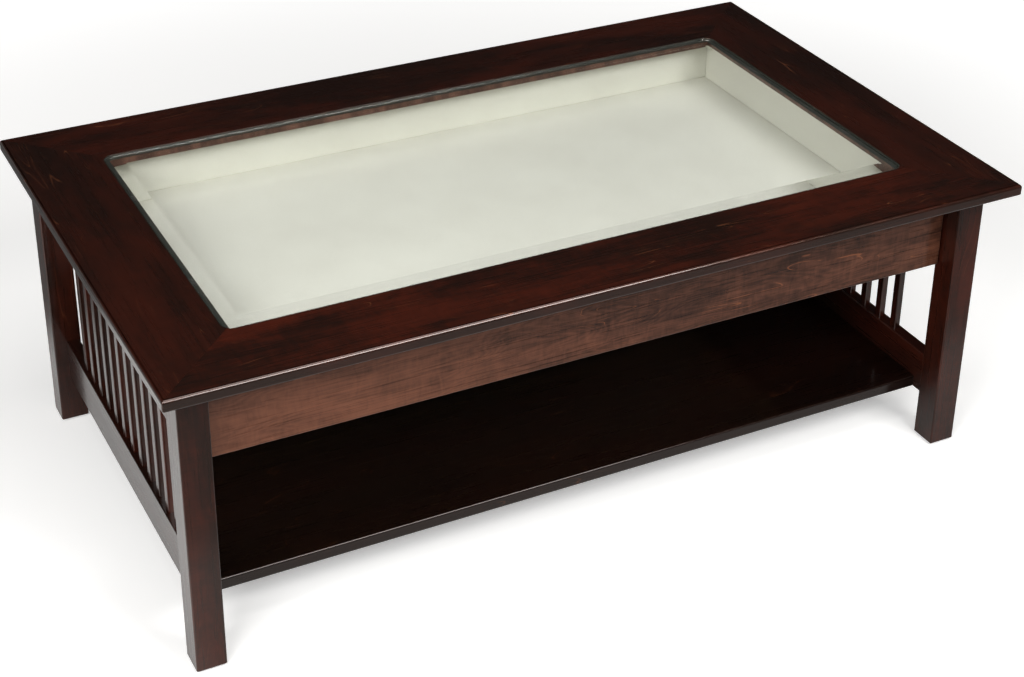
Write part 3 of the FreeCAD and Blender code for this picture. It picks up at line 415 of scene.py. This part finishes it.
def top_edges(graph, tone, dark, opening):
    """Painted light in the opening, whose inner faces get a lighter brown for the light from the
    front, a painted ledge under the glass and a darker outer edge.

    Gives the weight of the lacquer, which the ledge goes without, and the colour.
    """
    wood = look("wood")
    vector = object_coordinates(graph)
    # painted light: a lighter brown on the opening's inner faces for the light from the front, in
    # upright streaks
    streak = graph.streaks(vector, (75, 75, 14), 1.0, 3, 0.6)
    opening_painted_light = graph.mix(graph.span(streak, 0.35, 0.68), shaded(wood.opening_painted_light, 0.35), wood.opening_painted_light)
    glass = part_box("glass_top")[1]
    painted, bare = glass.z - 0.6 * MM, glass.z - 0.2 * MM
    lowered = graph.span(object_axes(graph)["Z"], painted, bare, 1.0, 0.0)
    ledge = graph.math("MULTIPLY", within(graph, glass.x, glass.y, past=1.5 * MM), lowered)
    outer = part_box("frame_back")[1]
    middle = within(graph, outer.x, outer.y, past=-0.9 * MM, blur=0.6 * MM)
    edge = graph.math("SUBTRACT", 1.0, middle)
    uneven = graph.span(graph.streaks(vector, (2.5, 2.5, 9), 1.0, 3), 0.38, 0.58, 0.35, 0.95)
    tone = graph.mix(graph.math("MULTIPLY", edge, uneven), tone, shaded(dark, 0.7))
    tone = graph.mix(ledge, tone, wood.ledge)
    # painted light on the opening's inner faces
    tone = graph.mix(within(graph, *opening, past=0.2 * MM), tone, opening_painted_light)
    return graph.span(ledge, 0.0, 1.0, wood.lacquer, 0.0), tone


def pale_maple(grain, place=(0, 0, 0), shade=1.0):
    """The clear-lacquered wood of the drawer's box."""
    wood = look("wood")
    dark, pale = shaded(wood.pale_dark, shade), shaded(wood.pale, shade)
    material, graph, shader = new_material("pale_maple_" + grain)
    vector = graph.stretch(object_coordinates(graph), (1, 1, 1), place, GRAIN_TURN[grain])
    grained = place_group(graph, node_group("Maple grain", make_grain_group),
                          {"Vector": vector, "Dark": dark, "Glow": pale, "Line": dark,
                           "Depth": 0.6, "Contrast": 0.8, "Glow Amount": 1.0,
                           "Blotch Amount": 1.6, "Figure Amount": 0.3, "Line Amount": 0.5})
    graph.feed(shader.inputs["Base Color"], grained.outputs["Color"])
    shader.inputs["Roughness"].default_value = wood.roughness
    shader.inputs["Coat Weight"].default_value = wood.lacquer / 2
    shader.inputs["Coat Roughness"].default_value = wood.gloss * 2
    bump(graph, shader, grained.outputs["Height"], 0.15, 0.0002)
    return material


def tray_fabric():
    """Off-white woven fabric."""
    lining = look("lining")
    material, graph, shader = new_material("tray_fabric")
    woven = place_group(graph, node_group("Plain weave", make_weave_group),
                        {"Vector": object_coordinates(graph), "Pitch": lining.thread,
                         "Light": lining.light, "Shade": lining.shade})
    graph.feed(shader.inputs["Base Color"], woven.outputs["Color"])
    shader.inputs["Roughness"].default_value = 0.9
    shader.inputs["Specular IOR Level"].default_value = 0.2
    shader.inputs["Sheen Weight"].default_value = 0.15
    bump(graph, shader, woven.outputs["Height"], 0.3, 0.0002)
    return material


def clear_glass():
    """Glass with a ground rim, which lets the lamps' light through to the tray."""
    fittings = look("fittings")
    material, graph, shader = new_material("clear_glass")
    parts = object_axes(graph)
    past_edge = [graph.math("SUBTRACT", graph.math("ABSOLUTE", parts[axis]), half)
                 for axis, half in zip("XY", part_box("glass_top")[1])]
    clear_up_to, ground_from = -2.5 * MM, -0.5 * MM
    ground = graph.span(graph.math("MAXIMUM", *past_edge), clear_up_to, ground_from)
    graph.feed(shader.inputs["Base Color"], graph.mix(ground, fittings.glass, fittings.glass_rim))
    graph.feed(shader.inputs["Roughness"], graph.math("MULTIPLY", ground, 0.14))
    shader.inputs["IOR"].default_value = 1.5
    shader.inputs["Transmission Weight"].default_value = 1.0
    clear = graph.add("ShaderNodeBsdfTransparent", {"Color": fittings.glass})
    path = graph.add("ShaderNodeLightPath")
    either = graph.math("MAXIMUM", path.outputs["Is Shadow Ray"], path.outputs["Is Diffuse Ray"])
    mixed = graph.add("ShaderNodeMixShader")
    graph.feed(mixed.inputs[0], either)
    graph.tree.links.new(shader.outputs[0], mixed.inputs[1])
    graph.tree.links.new(clear.outputs[0], mixed.inputs[2])
    output = next(node for node in graph.tree.nodes if node.type == "OUTPUT_MATERIAL")
    graph.tree.links.new(mixed.outputs[0], output.inputs[0])
    return material


def zinc_steel():
    """Zinc-plated steel with a faint spangle."""
    material, graph, shader = new_material("zinc_steel")
    spangle = graph.streaks(object_coordinates(graph), (300, 90, 300), 1.0, 3)
    steel = look("fittings").steel
    tone = graph.mix(graph.span(spangle, 0.3, 0.7), shaded(steel, 0.75), steel)
    graph.feed(shader.inputs["Base Color"], tone)
    graph.feed(shader.inputs["Roughness"], graph.span(spangle, 0.2, 0.8, 0.28, 0.42))
    shader.inputs["Metallic"].default_value = 1.0
    return material


def clear_pads():
    """Clear silicone under the glass, faintly cloudy."""
    material, graph, shader = new_material("clear_pads")
    cloud = graph.streaks(object_coordinates(graph), (250, 250, 250), 1.0, 3)
    pad = look("fittings").pad
    tone = graph.mix(graph.span(cloud, 0.3, 0.7), shaded(pad, 0.85), pad)
    graph.feed(shader.inputs["Base Color"], tone)
    graph.feed(shader.inputs["Roughness"], graph.span(cloud, 0.2, 0.8, 0.12, 0.3))
    graph.feed(shader.inputs["Alpha"], graph.span(cloud, 0.2, 0.8, 0.02, 0.06))
    shader.inputs["Specular IOR Level"].default_value = 0.1
    return material


def moulded(name, tint, rough):
    """Moulded plastic with a fine texture."""
    material, graph, shader = new_material(name)
    grit = graph.streaks(object_coordinates(graph), (900, 900, 900), 1.0, 2)
    tone = graph.mix(graph.span(grit, 0.3, 0.7), tint, shaded(tint, 1.25))
    graph.feed(shader.inputs["Base Color"], tone)
    shader.inputs["Roughness"].default_value = rough
    bump(graph, shader, grit, 0.2, 0.0001)
    return material


# ---------------------------------------------------------------- modelling helpers

def deselect():
    if bpy.context.object and bpy.context.object.mode != "OBJECT":
        bpy.ops.object.mode_set(mode="OBJECT")
    bpy.ops.object.select_all(action="DESELECT")


def select(*pieces):
    """Selects these pieces and no others, with the first one active."""
    deselect()
    for piece in pieces:
        piece.select_set(True)
    bpy.context.view_layer.objects.active = pieces[0]


def apply_modifier(piece, kind, **settings):
    """Gives the active piece a modifier and applies it."""
    modifier = piece.modifiers.new(kind.title(), kind)
    for name, value in settings.items():
        setattr(modifier, name, value)
    bpy.ops.object.modifier_apply(modifier=modifier.name)


def settle(piece):
    """Puts a piece's place into its mesh."""
    select(piece)
    bpy.ops.object.transform_apply(location=True, rotation=True, scale=True)


def add_block(name, low, high):
    """A block between two corners."""
    deselect()
    low, high = Vector(low), Vector(high)
    bpy.ops.mesh.primitive_cube_add(size=1, location=(low + high) / 2)
    piece = bpy.context.object
    piece.name = name
    piece.scale = high - low
    settle(piece)
    return piece


def add_cylinder(name, radius, depth, place, axis="z", around=24):
    deselect()
    turns = {"x": (0, math.pi / 2, 0), "y": (math.pi / 2, 0, 0), "z": (0, 0, 0)}
    bpy.ops.mesh.primitive_cylinder_add(vertices=around, radius=radius, depth=depth, location=place,
                                        rotation=turns[axis])
    piece = bpy.context.object
    piece.name = name
    settle(piece)
    return piece


def soften(piece, width, segments=3):
    """Rounds the sharp edges, with the limit that a bevel starts with, and smooths the rounds."""
    select(piece)
    apply_modifier(piece, "BEVEL", width=width, segments=segments, limit_method="ANGLE")
    bpy.ops.object.shade_smooth_by_angle(angle=math.radians(40))


def even_shading(piece):
    """Smooths the rounds and keeps the flats flat."""
    select(piece)
    bpy.ops.object.shade_smooth_by_angle(angle=math.radians(35))
    apply_modifier(piece, "WEIGHTED_NORMAL", keep_sharp=True)


def unselect_mesh(piece, kind):
    """Makes a piece active with nothing in its mesh selected, ready for edges or for faces."""
    select(piece)
    bpy.ops.object.mode_set(mode="EDIT")
    bpy.ops.mesh.select_mode(type=kind)
    bpy.ops.mesh.select_all(action="DESELECT")
    bpy.ops.object.mode_set(mode="OBJECT")


def round_edges(piece, width, segments, test):
    """Rounds the edges that pass the test, which is given their two ends."""
    unselect_mesh(piece, "EDGE")
    points = [vertex.co for vertex in piece.data.vertices]
    for edge in piece.data.edges:
        edge.select = test(*(points[index] for index in edge.vertices))
    bpy.ops.object.mode_set(mode="EDIT")
    bpy.ops.mesh.bevel(offset=width, segments=segments, affect="EDGES")
    bpy.ops.object.mode_set(mode="OBJECT")


def upright(start, end):
    return (end - start).xy.length < NEAR


def cut_off(piece, place, normal):
    """Cuts a piece at a plane, closes the cut and drops what lies on the normal's side."""
    select(piece)
    bpy.ops.object.mode_set(mode="EDIT")
    bpy.ops.mesh.select_all(action="SELECT")
    bpy.ops.mesh.bisect(plane_co=place, plane_no=normal, use_fill=True, clear_outer=True)
    bpy.ops.object.mode_set(mode="OBJECT")


def ripple(piece, axis, inner, depth, cuts):
    """Lets the fabric of a covered board rise and fall a little, away from the board's edges.

    Inner is the side of the axis that the fabric's face looks to, and cuts divide that face.
    """
    points = [vertex.co for vertex in piece.data.vertices]
    low, high = (Vector(limit(point[step] for point in points) for step in range(3))
                 for limit in (min, max))
    unselect_mesh(piece, "FACE")
    for face in piece.data.polygons:
        face.select = face.normal[axis] * inner > 0.99
    bpy.ops.object.mode_set(mode="EDIT")
    bpy.ops.mesh.inset(thickness=FABRIC_HEM)
    bpy.ops.mesh.subdivide(number_cuts=cuts)
    bpy.ops.object.mode_set(mode="OBJECT")
    group = piece.vertex_groups.new(name="face")
    level = (high if inner > 0 else low)[axis]
    others = [step for step in range(3) if step != axis]
    for vertex in piece.data.vertices:
        place = vertex.co
        inside = all(low[step] + FABRIC_MARGIN < place[step] < high[step] - FABRIC_MARGIN
                     for step in others)
        if inside and abs(place[axis] - level) < NEAR:
            group.add([vertex.index], 1.0, "REPLACE")
    textures = bpy.data.textures
    clouds = textures.get("fabric_ripple") or textures.new("fabric_ripple", "CLOUDS")
    clouds.noise_scale = RIPPLE_SCALE
    apply_modifier(piece, "DISPLACE", texture=clouds, vertex_group=group.name, strength=depth,
                   direction="XYZ"[axis])
    piece.vertex_groups.clear()


def carve(piece, cutter):
    """Takes one piece out of another."""
    select(piece)
    apply_modifier(piece, "BOOLEAN", operation="DIFFERENCE", object=cutter)
    bpy.data.objects.remove(cutter)


def join(name, pieces):
    select(*pieces)
    bpy.ops.object.join()
    joined = bpy.context.object
    joined.name = name
    return joined


def copies(piece, places):
    """Copies of a piece that was modelled at the origin, one at each place, joined into one."""
    made = []
    for place in places:
        copy = piece.copy()
        copy.data = piece.data.copy()
        bpy.context.scene.collection.objects.link(copy)
        copy.data.transform(Matrix.Translation(Vector(place)))
        made.append(copy)
    name = piece.name
    bpy.data.objects.remove(piece)
    return join(name, made)


def finish_node(name, material):
    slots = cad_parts[name].data.materials
    slots.clear()
    slots.append(material)


def finish_piece(piece, material, body):
    piece.data.materials.clear()
    piece.data.materials.append(material)
    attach(piece, body)


# ---------------------------------------------------------------- the operators

class DISPLAYTABLE_OT_build_top(bpy.types.Operator):
    """Models the mitred frame of the top and stains its boards, each with its own run of grain"""

    bl_idname = "display_table.build_top"
    bl_label = "Build the top"

    def execute(self, context):
        boards = {
            "front": {"grain": "x", "place": (0.35, 0.2, 0.0), "glow": 0.80, "lines": 0.4},
            "back": {"grain": "x", "place": (1.9, 0.7, 0.3), "glow": 0.55, "lines": 0.3},
            "left": {"grain": "y", "place": (1.28, 1.3, 0.1), "glow": 0.38, "lines": 0.3},
            "right": {"grain": "y", "place": (2.7, 0.4, 0.6), "glow": 0.40, "lines": 0.3},
        }
        opening = (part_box("frame_right")[0].x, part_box("frame_back")[0].y)
        for where, settings in boards.items():
            board = self.shape(where)
            self.mitre(board, where)
            even_shading(board)
            finish_piece(board, stained_maple(opening=opening, **settings), "table")
            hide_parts("frame_" + where)
        finish_node("mitre_splines", pale_maple("x"))
        return {"FINISHED"}

    def shape(self, where):
        """One board before its ends are mitred: eased outer edges, round corners and the ledge."""
        wood = look("wood")
        low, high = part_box("frame_" + where)
        axis = 1 if where in ("front", "back") else 0
        inner = min(abs(low[axis]), abs(high[axis])) + NEAR
        board = add_block("top_board_" + where, low, high)

        def outside(*points):
            return max(abs(point[axis]) for point in points) > inner

        def upper(*points):
            return min(point.z for point in points) > high.z - NEAR

        def lower(*points):
            return max(point.z for point in points) < low.z + NEAR

        round_edges(board, wood.corner, 5, lambda *ends: upright(*ends) and outside(*ends))
        round_edges(board, wood.top_edge, 5, lambda *ends: upper(*ends) and outside(*ends))
        round_edges(board, wood.low_edge, 4, lambda *ends: lower(*ends) and outside(*ends))
        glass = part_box("glass_top")
        gap = Vector((LEDGE_GAP, LEDGE_GAP, ABOVE_GLASS))
        ledge = Vector((*(glass[0] - gap).xy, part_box("glass_pads")[0].z))
        rabbet = add_block("rabbet", ledge, glass[1] + gap)
        round_edges(rabbet, RABBET_CORNER, 8, upright)
        carve(board, rabbet)
        return board

    def mitre(self, board, where):
        """Cuts the board's two ends at their mitres."""
        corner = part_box("frame_back")[1]
        out = {"front": Vector((0, -1, 0)), "back": Vector((0, 1, 0)),
               "left": Vector((-1, 0, 0)), "right": Vector((1, 0, 0))}[where]
        along = Vector((abs(out.y), abs(out.x), 0))
        for sign in (-1, 1):
            tip = out + sign * along
            normal = (sign * along - out).normalized()
            place = Vector((tip.x * corner.x, tip.y * corner.y, 0)) - MITRE_GAP * normal
            cut_off(board, place, normal)


class DISPLAYTABLE_OT_finish_base(bpy.types.Operator):
    """Stains the legs, rails, slats, shelf, apron and stretcher"""

    bl_idname = "display_table.finish_base"
    bl_label = "Finish the base"

    def execute(self, context):
        standing = stained_maple("z", (0.2, 0.9, 0.5), glow=0.7, figure=0.3, lines=0.15)
        legs = [f"leg_{end}_{side}" for end in ENDS for side in SIDES]
        for name in legs + SLATS:
            finish_node(name, standing)
        rail = stained_maple("y", (0.9, 0.1, 0.8), glow=0.5, figure=0.3, lines=0.25)
        for side in SIDES:
            finish_node("lower_rail_" + side, rail)
            finish_node("upper_rail_" + side, rail)
        cross = stained_maple("x", (0.4, 1.1, 0.2), figure=0.3, lines=0.3)
        for name in ("back_apron", "drawer_stretcher"):
            finish_node(name, cross)
        # painted shade: the shelf's stain is darkened and its glow held low, for the shade under the
        # table's top
        shelf = stained_maple("x", (1.3, 0.3, 0.9), glow=0.05, figure=0.1, lines=0.1, shade=0.3)
        finish_node("lower_shelf", shelf)
        finish_node("loose_tenons", pale_maple("x"))
        return {"FINISHED"}


class DISPLAYTABLE_OT_finish_drawer(bpy.types.Operator):
    """Stains the drawer's front and gives its box a clear lacquer"""

    bl_idname = "display_table.finish_drawer"
    bl_label = "Finish the drawer"

    def execute(self, context):
        # painted light: the front is lightened towards its left end, as where more light falls on it
        front = stained_maple("x", (0.1, 0.5, 1.2), depth=0.46, contrast=0.8, glow=1.0, figure=0.42,
                              lines=0.6, blotch=0.5, fine=1.3, painted_left_light=0.33, stain="brown")
        finish_node("drawer_front", front)
        for end in ENDS:
            finish_node("drawer_box_" + end, pale_maple("x", (0.5, 0.2, 0.1)))
        for side in SIDES:
            finish_node("drawer_side_" + side, pale_maple("y", (0.2, 0.6, 0.3)))
        # painted shade: the bottom is darkened so that the shelf mirrors it dark, as an unlit
        # underside
        finish_node("drawer_bottom", pale_maple("x", (0.8, 0.9, 0.7), shade=0.3))
        return {"FINISHED"}


class DISPLAYTABLE_OT_line_tray(bpy.types.Operator):
    """Lays the fabric-covered boards in the tray, with the fabric wrapped round their edges"""

    bl_idname = "display_table.line_tray"
    bl_label = "Line the tray"

    def execute(self, context):
        fabric = tray_fabric()
        fold = look("lining").fold
        floor = add_block("tray_floor_lining", *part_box("floor_lining"))
        ripple(floor, axis=2, inner=1, depth=0.7 * MM, cuts=40)
        soften(floor, fold)
        finish_piece(floor, fabric, "drawer")
        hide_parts("floor_lining")
        low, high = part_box("floor_lining")
        low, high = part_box("wall_linings")
        inset = WALL_THICKNESS + WALL_GAP
        # each wall's axis, the way its fabric faces along it, and two of its corners
        walls = {
            "front": (1, 1, low, (high.x, low.y + WALL_THICKNESS, high.z)),
            "back": (1, -1, (low.x, high.y - WALL_THICKNESS, low.z), high),
            "left": (0, 1, (low.x, low.y + inset, low.z),
                     (low.x + WALL_THICKNESS, high.y - inset, high.z)),
            "right": (0, -1, (high.x - WALL_THICKNESS, low.y + inset, low.z),
                      (high.x, high.y - inset, high.z)),
        }
        pieces = []
        for place, (axis, inner, corner, other) in walls.items():
            wall = add_block("tray_wall_" + place, corner, other)
            ripple(wall, axis, inner, depth=0.5 * MM, cuts=16)
            soften(wall, fold)
            pieces.append(wall)
        lining = join("tray_wall_linings", pieces)
        finish_piece(lining, fabric, "drawer")
        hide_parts("wall_linings")
        return {"FINISHED"}


class DISPLAYTABLE_OT_glaze_top(bpy.types.Operator):
    """Gives the bevelled pane its glass and the pads under it their clear plastic"""

    bl_idname = "display_table.glaze_top"
    bl_label = "Glaze the top"

    def execute(self, context):
        finish_node("glass_top", clear_glass())
        finish_node("glass_pads", clear_pads())
        return {"FINISHED"}


class DISPLAYTABLE_OT_fit_hardware(bpy.types.Operator):
    """Plates the slides, clips and screws, and drives the screws of the slides"""

    bl_idname = "display_table.fit_hardware"
    bl_label = "Fit the hardware"

    def execute(self, context):
        steel = zinc_steel()
        for name in sorted(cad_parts):
            if name.startswith("slide_") or name in ("table_fasteners", "drawer_screws"):
                finish_node(name, steel)
        finish_node("leg_glides", moulded("glide_nylon", look("fittings").nylon, 0.5))
        for member, body in (("outer", "table"), ("inner", "drawer")):
            screws = join(f"slide_screws_{body}", [self.drive(member, side) for side in SIDES])
            finish_piece(screws, steel, body)
        return {"FINISHED"}

    def drive(self, member, side):
        """One row of pan-head screws along a slide member's web, on its open side."""
        fittings = look("fittings")
        rise = fittings.screw_rise
        low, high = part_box(f"slide_{member}_{side}")
        web_at_low = (SIDES[side] < 0) == (member == "outer")
        web = low.x + SLIDE_SHEET if web_at_low else high.x - SLIDE_SHEET
        towards = 1 if web_at_low else -1
        head = add_cylinder("slide_screw", fittings.screw_head / 2, rise, (0, 0, 0), "x")
        soften(head, rise * HEAD_ROUND)
        reach = fittings.screw_head * RECESS_LENGTH / 2
        across = fittings.screw_head * RECESS_WIDTH / 2
        bottom, above = towards * (rise / 2 - rise * RECESS_DEPTH), towards * rise
        for wide, tall in ((reach, across), (across, reach)):
            recess = add_block("recess", (min(bottom, above), -wide, -tall),
                               (max(bottom, above), wide, tall))
            carve(head, recess)
        first = low.y + fittings.screw_margin
        last = high.y - fittings.screw_margin
        step = (last - first) / (fittings.screws - 1)
        places = [(web + towards * rise / 2, first + step * count, (low.z + high.z) / 2)
                  for count in range(fittings.screws)]
        return copies(head, places)


class DISPLAYTABLE_OT_set_stage(bpy.types.Operator):
    """Sets the floor, the lamps, the world and the camera"""

    bl_idname = "display_table.set_stage"
    bl_label = "Set the stage"

    def execute(self, context):
        self.lay_floor()
        self.hang_lamps()
        self.paint_world()
        self.stand_camera()
        context.scene.view_settings.view_transform = "Standard"
        return {"FINISHED"}

    def lay_floor(self):
        deselect()
        bpy.ops.mesh.primitive_circle_add(vertices=96, radius=14, fill_type="NGON", location=(0, 0, 0))
        floor = bpy.context.object
        floor.name = "floor"
        settle(floor)
        material, graph, shader = new_material("studio_floor")
        stage = look("stage")
        shader.inputs["Roughness"].default_value = 0.95
        shader.inputs["Specular IOR Level"].default_value = 0.0
        parts = object_axes(graph)
        path = graph.add("ShaderNodeLightPath").outputs
        # the strip of floor as deep as the table, and the part of it left of the table
        strip = graph.math("MULTIPLY", graph.span(parts["Y"], -0.65, -0.48),
                           graph.span(parts["Y"], 0.42, 0.68, 1.0, 0.0))
        beside = graph.math("MULTIPLY", strip, graph.span(parts["X"], -0.65, -0.45, 1.0, 0.0))
        # the wood mirrors the floor dimmed, but for the part beside the table
        mirrored = graph.math("MAXIMUM", graph.span(strip, 0.0, 1.0, stage.dim, 0.5), beside)
        tone = graph.mix(path["Is Glossy Ray"], (1, 1, 1), mirrored)
        graph.feed(shader.inputs["Base Color"], graph.mix(1.0, stage.floor, tone, "MULTIPLY"))
        # where it is seen itself, the floor turns white with the distance from the table
        away = graph.add("ShaderNodeVectorMath", {0: object_coordinates(graph)}, operation="LENGTH")
        glow = graph.span(away.outputs["Value"], 1.0, 2.8, stage.glow, 1.0)
        shown = graph.math("MAXIMUM", path["Is Camera Ray"], path["Is Transmission Ray"])
        # painted reflection: left of the table the floor glows in the wood's reflections too, at a
        # third of the floor glow, lightening the table's left faces
        reflected = graph.math("MULTIPLY", path["Is Glossy Ray"], beside)
        shader.inputs["Emission Color"].default_value = (1, 1, 1, 1)
        graph.feed(shader.inputs["Emission Strength"],
                   graph.math("ADD", graph.math("MULTIPLY", shown, glow),
                              graph.math("MULTIPLY", reflected, stage.glow / 3)))
        floor.data.materials.append(material)

    def hang_lamps(self):
        stage = look("stage")
        # each lamp's place, size and power
        lamps = {
            "key_lamp": ((0.70, -2.3, 2.15), (1.5, 0.8), stage.key),
            "fill_lamp": ((-2.0, -1.5, 1.8), (1.6, 1.2), stage.fill),
            "overhead_lamp": ((0, -0.7, 3.2), (2.6, 1.8), stage.top),
        }
        middle = (cad_low + cad_high) / 2
        for name, (place, size, power) in lamps.items():
            data = bpy.data.lights.new(name, "AREA")
            data.shape = "RECTANGLE"
            data.size, data.size_y = size
            data.energy = power
            lamp = bpy.data.objects.new(name, data)
            lamp.location = place
            lamp.rotation_euler = (middle - Vector(place)).to_track_quat("-Z", "Y").to_euler()
            bpy.context.scene.collection.objects.link(lamp)

    def paint_world(self):
        """White where it is seen, and lit near the horizon, but hardly before the table's front."""
        world = bpy.data.worlds.new("studio")
        world.use_nodes = True
        graph = Graph(world.node_tree)
        stage = look("stage")
        direction = graph.add("ShaderNodeTexCoord").outputs["Generated"]
        parts = graph.add("ShaderNodeSeparateXYZ", {"Vector": direction}).outputs
        light = graph.math("MULTIPLY", graph.span(parts["Z"], 0.0, 0.12, stage.horizon, stage.sky),
                           graph.span(parts["Y"], -0.35, 0.25, 0.05, 1.0))
        seen = graph.add("ShaderNodeLightPath").outputs["Is Camera Ray"]
        background = graph.add("ShaderNodeBackground", {"Color": (1, 1, 1)})
        graph.feed(background.inputs["Strength"], graph.math("MAXIMUM", light, seen))
        output = graph.add("ShaderNodeOutputWorld")
        graph.tree.links.new(background.outputs[0], output.inputs[0])
        bpy.context.scene.world = world

    def stand_camera(self):
        stage = look("stage")
        data = bpy.data.cameras.new("camera")
        data.sensor_width = 36
        data.lens = stage.lens
        data.shift_y = stage.shift
        data.clip_end = 100
        camera = bpy.data.objects.new("camera", data)
        facing = Euler((math.pi / 2 - stage.elevation, 0, -stage.azimuth), "XYZ").to_matrix()
        camera.rotation_euler = (facing @ Matrix.Rotation(stage.roll, 3, "Z")).to_euler()
        camera.location = stage.place
        bpy.context.scene.collection.objects.link(camera)
        bpy.context.scene.camera = camera


OPERATORS = (
    DISPLAYTABLE_OT_build_top,
    DISPLAYTABLE_OT_finish_base,
    DISPLAYTABLE_OT_finish_drawer,
    DISPLAYTABLE_OT_line_tray,
    DISPLAYTABLE_OT_glaze_top,
    DISPLAYTABLE_OT_fit_hardware,
    DISPLAYTABLE_OT_set_stage,
)


class DISPLAYTABLE_PT_panel(bpy.types.Panel):
    """Lists the table's settings and the steps that build its looks"""

    bl_idname = "DISPLAYTABLE_PT_panel"
    bl_label = "Display Table"
    bl_space_type = "VIEW_3D"
    bl_region_type = "UI"
    bl_category = "Display Table"

    def draw(self, context):
        for name, group in GROUPS.items():
            box = self.layout.box()
            box.label(text=name.capitalize())
            for setting in group.__annotations__:
                box.prop(look(name), setting)
        for operator in OPERATORS:
            self.layout.operator(operator.bl_idname)


def register():
    for kind in (*GROUPS.values(), *OPERATORS, DISPLAYTABLE_PT_panel):
        bpy.utils.register_class(kind)
    for name, group in GROUPS.items():
        setattr(bpy.types.Scene, "display_table_" + name, PointerProperty(type=group))


def unregister():
    for name in GROUPS:
        delattr(bpy.types.Scene, "display_table_" + name)
    for kind in reversed((*GROUPS.values(), *OPERATORS, DISPLAYTABLE_PT_panel)):
        bpy.utils.unregister_class(kind)


def main():
    register()
    for operator in OPERATORS:
        area, step = operator.bl_idname.split(".")
        getattr(getattr(bpy.ops, area), step)()


if __name__ == "__main__":
    main()
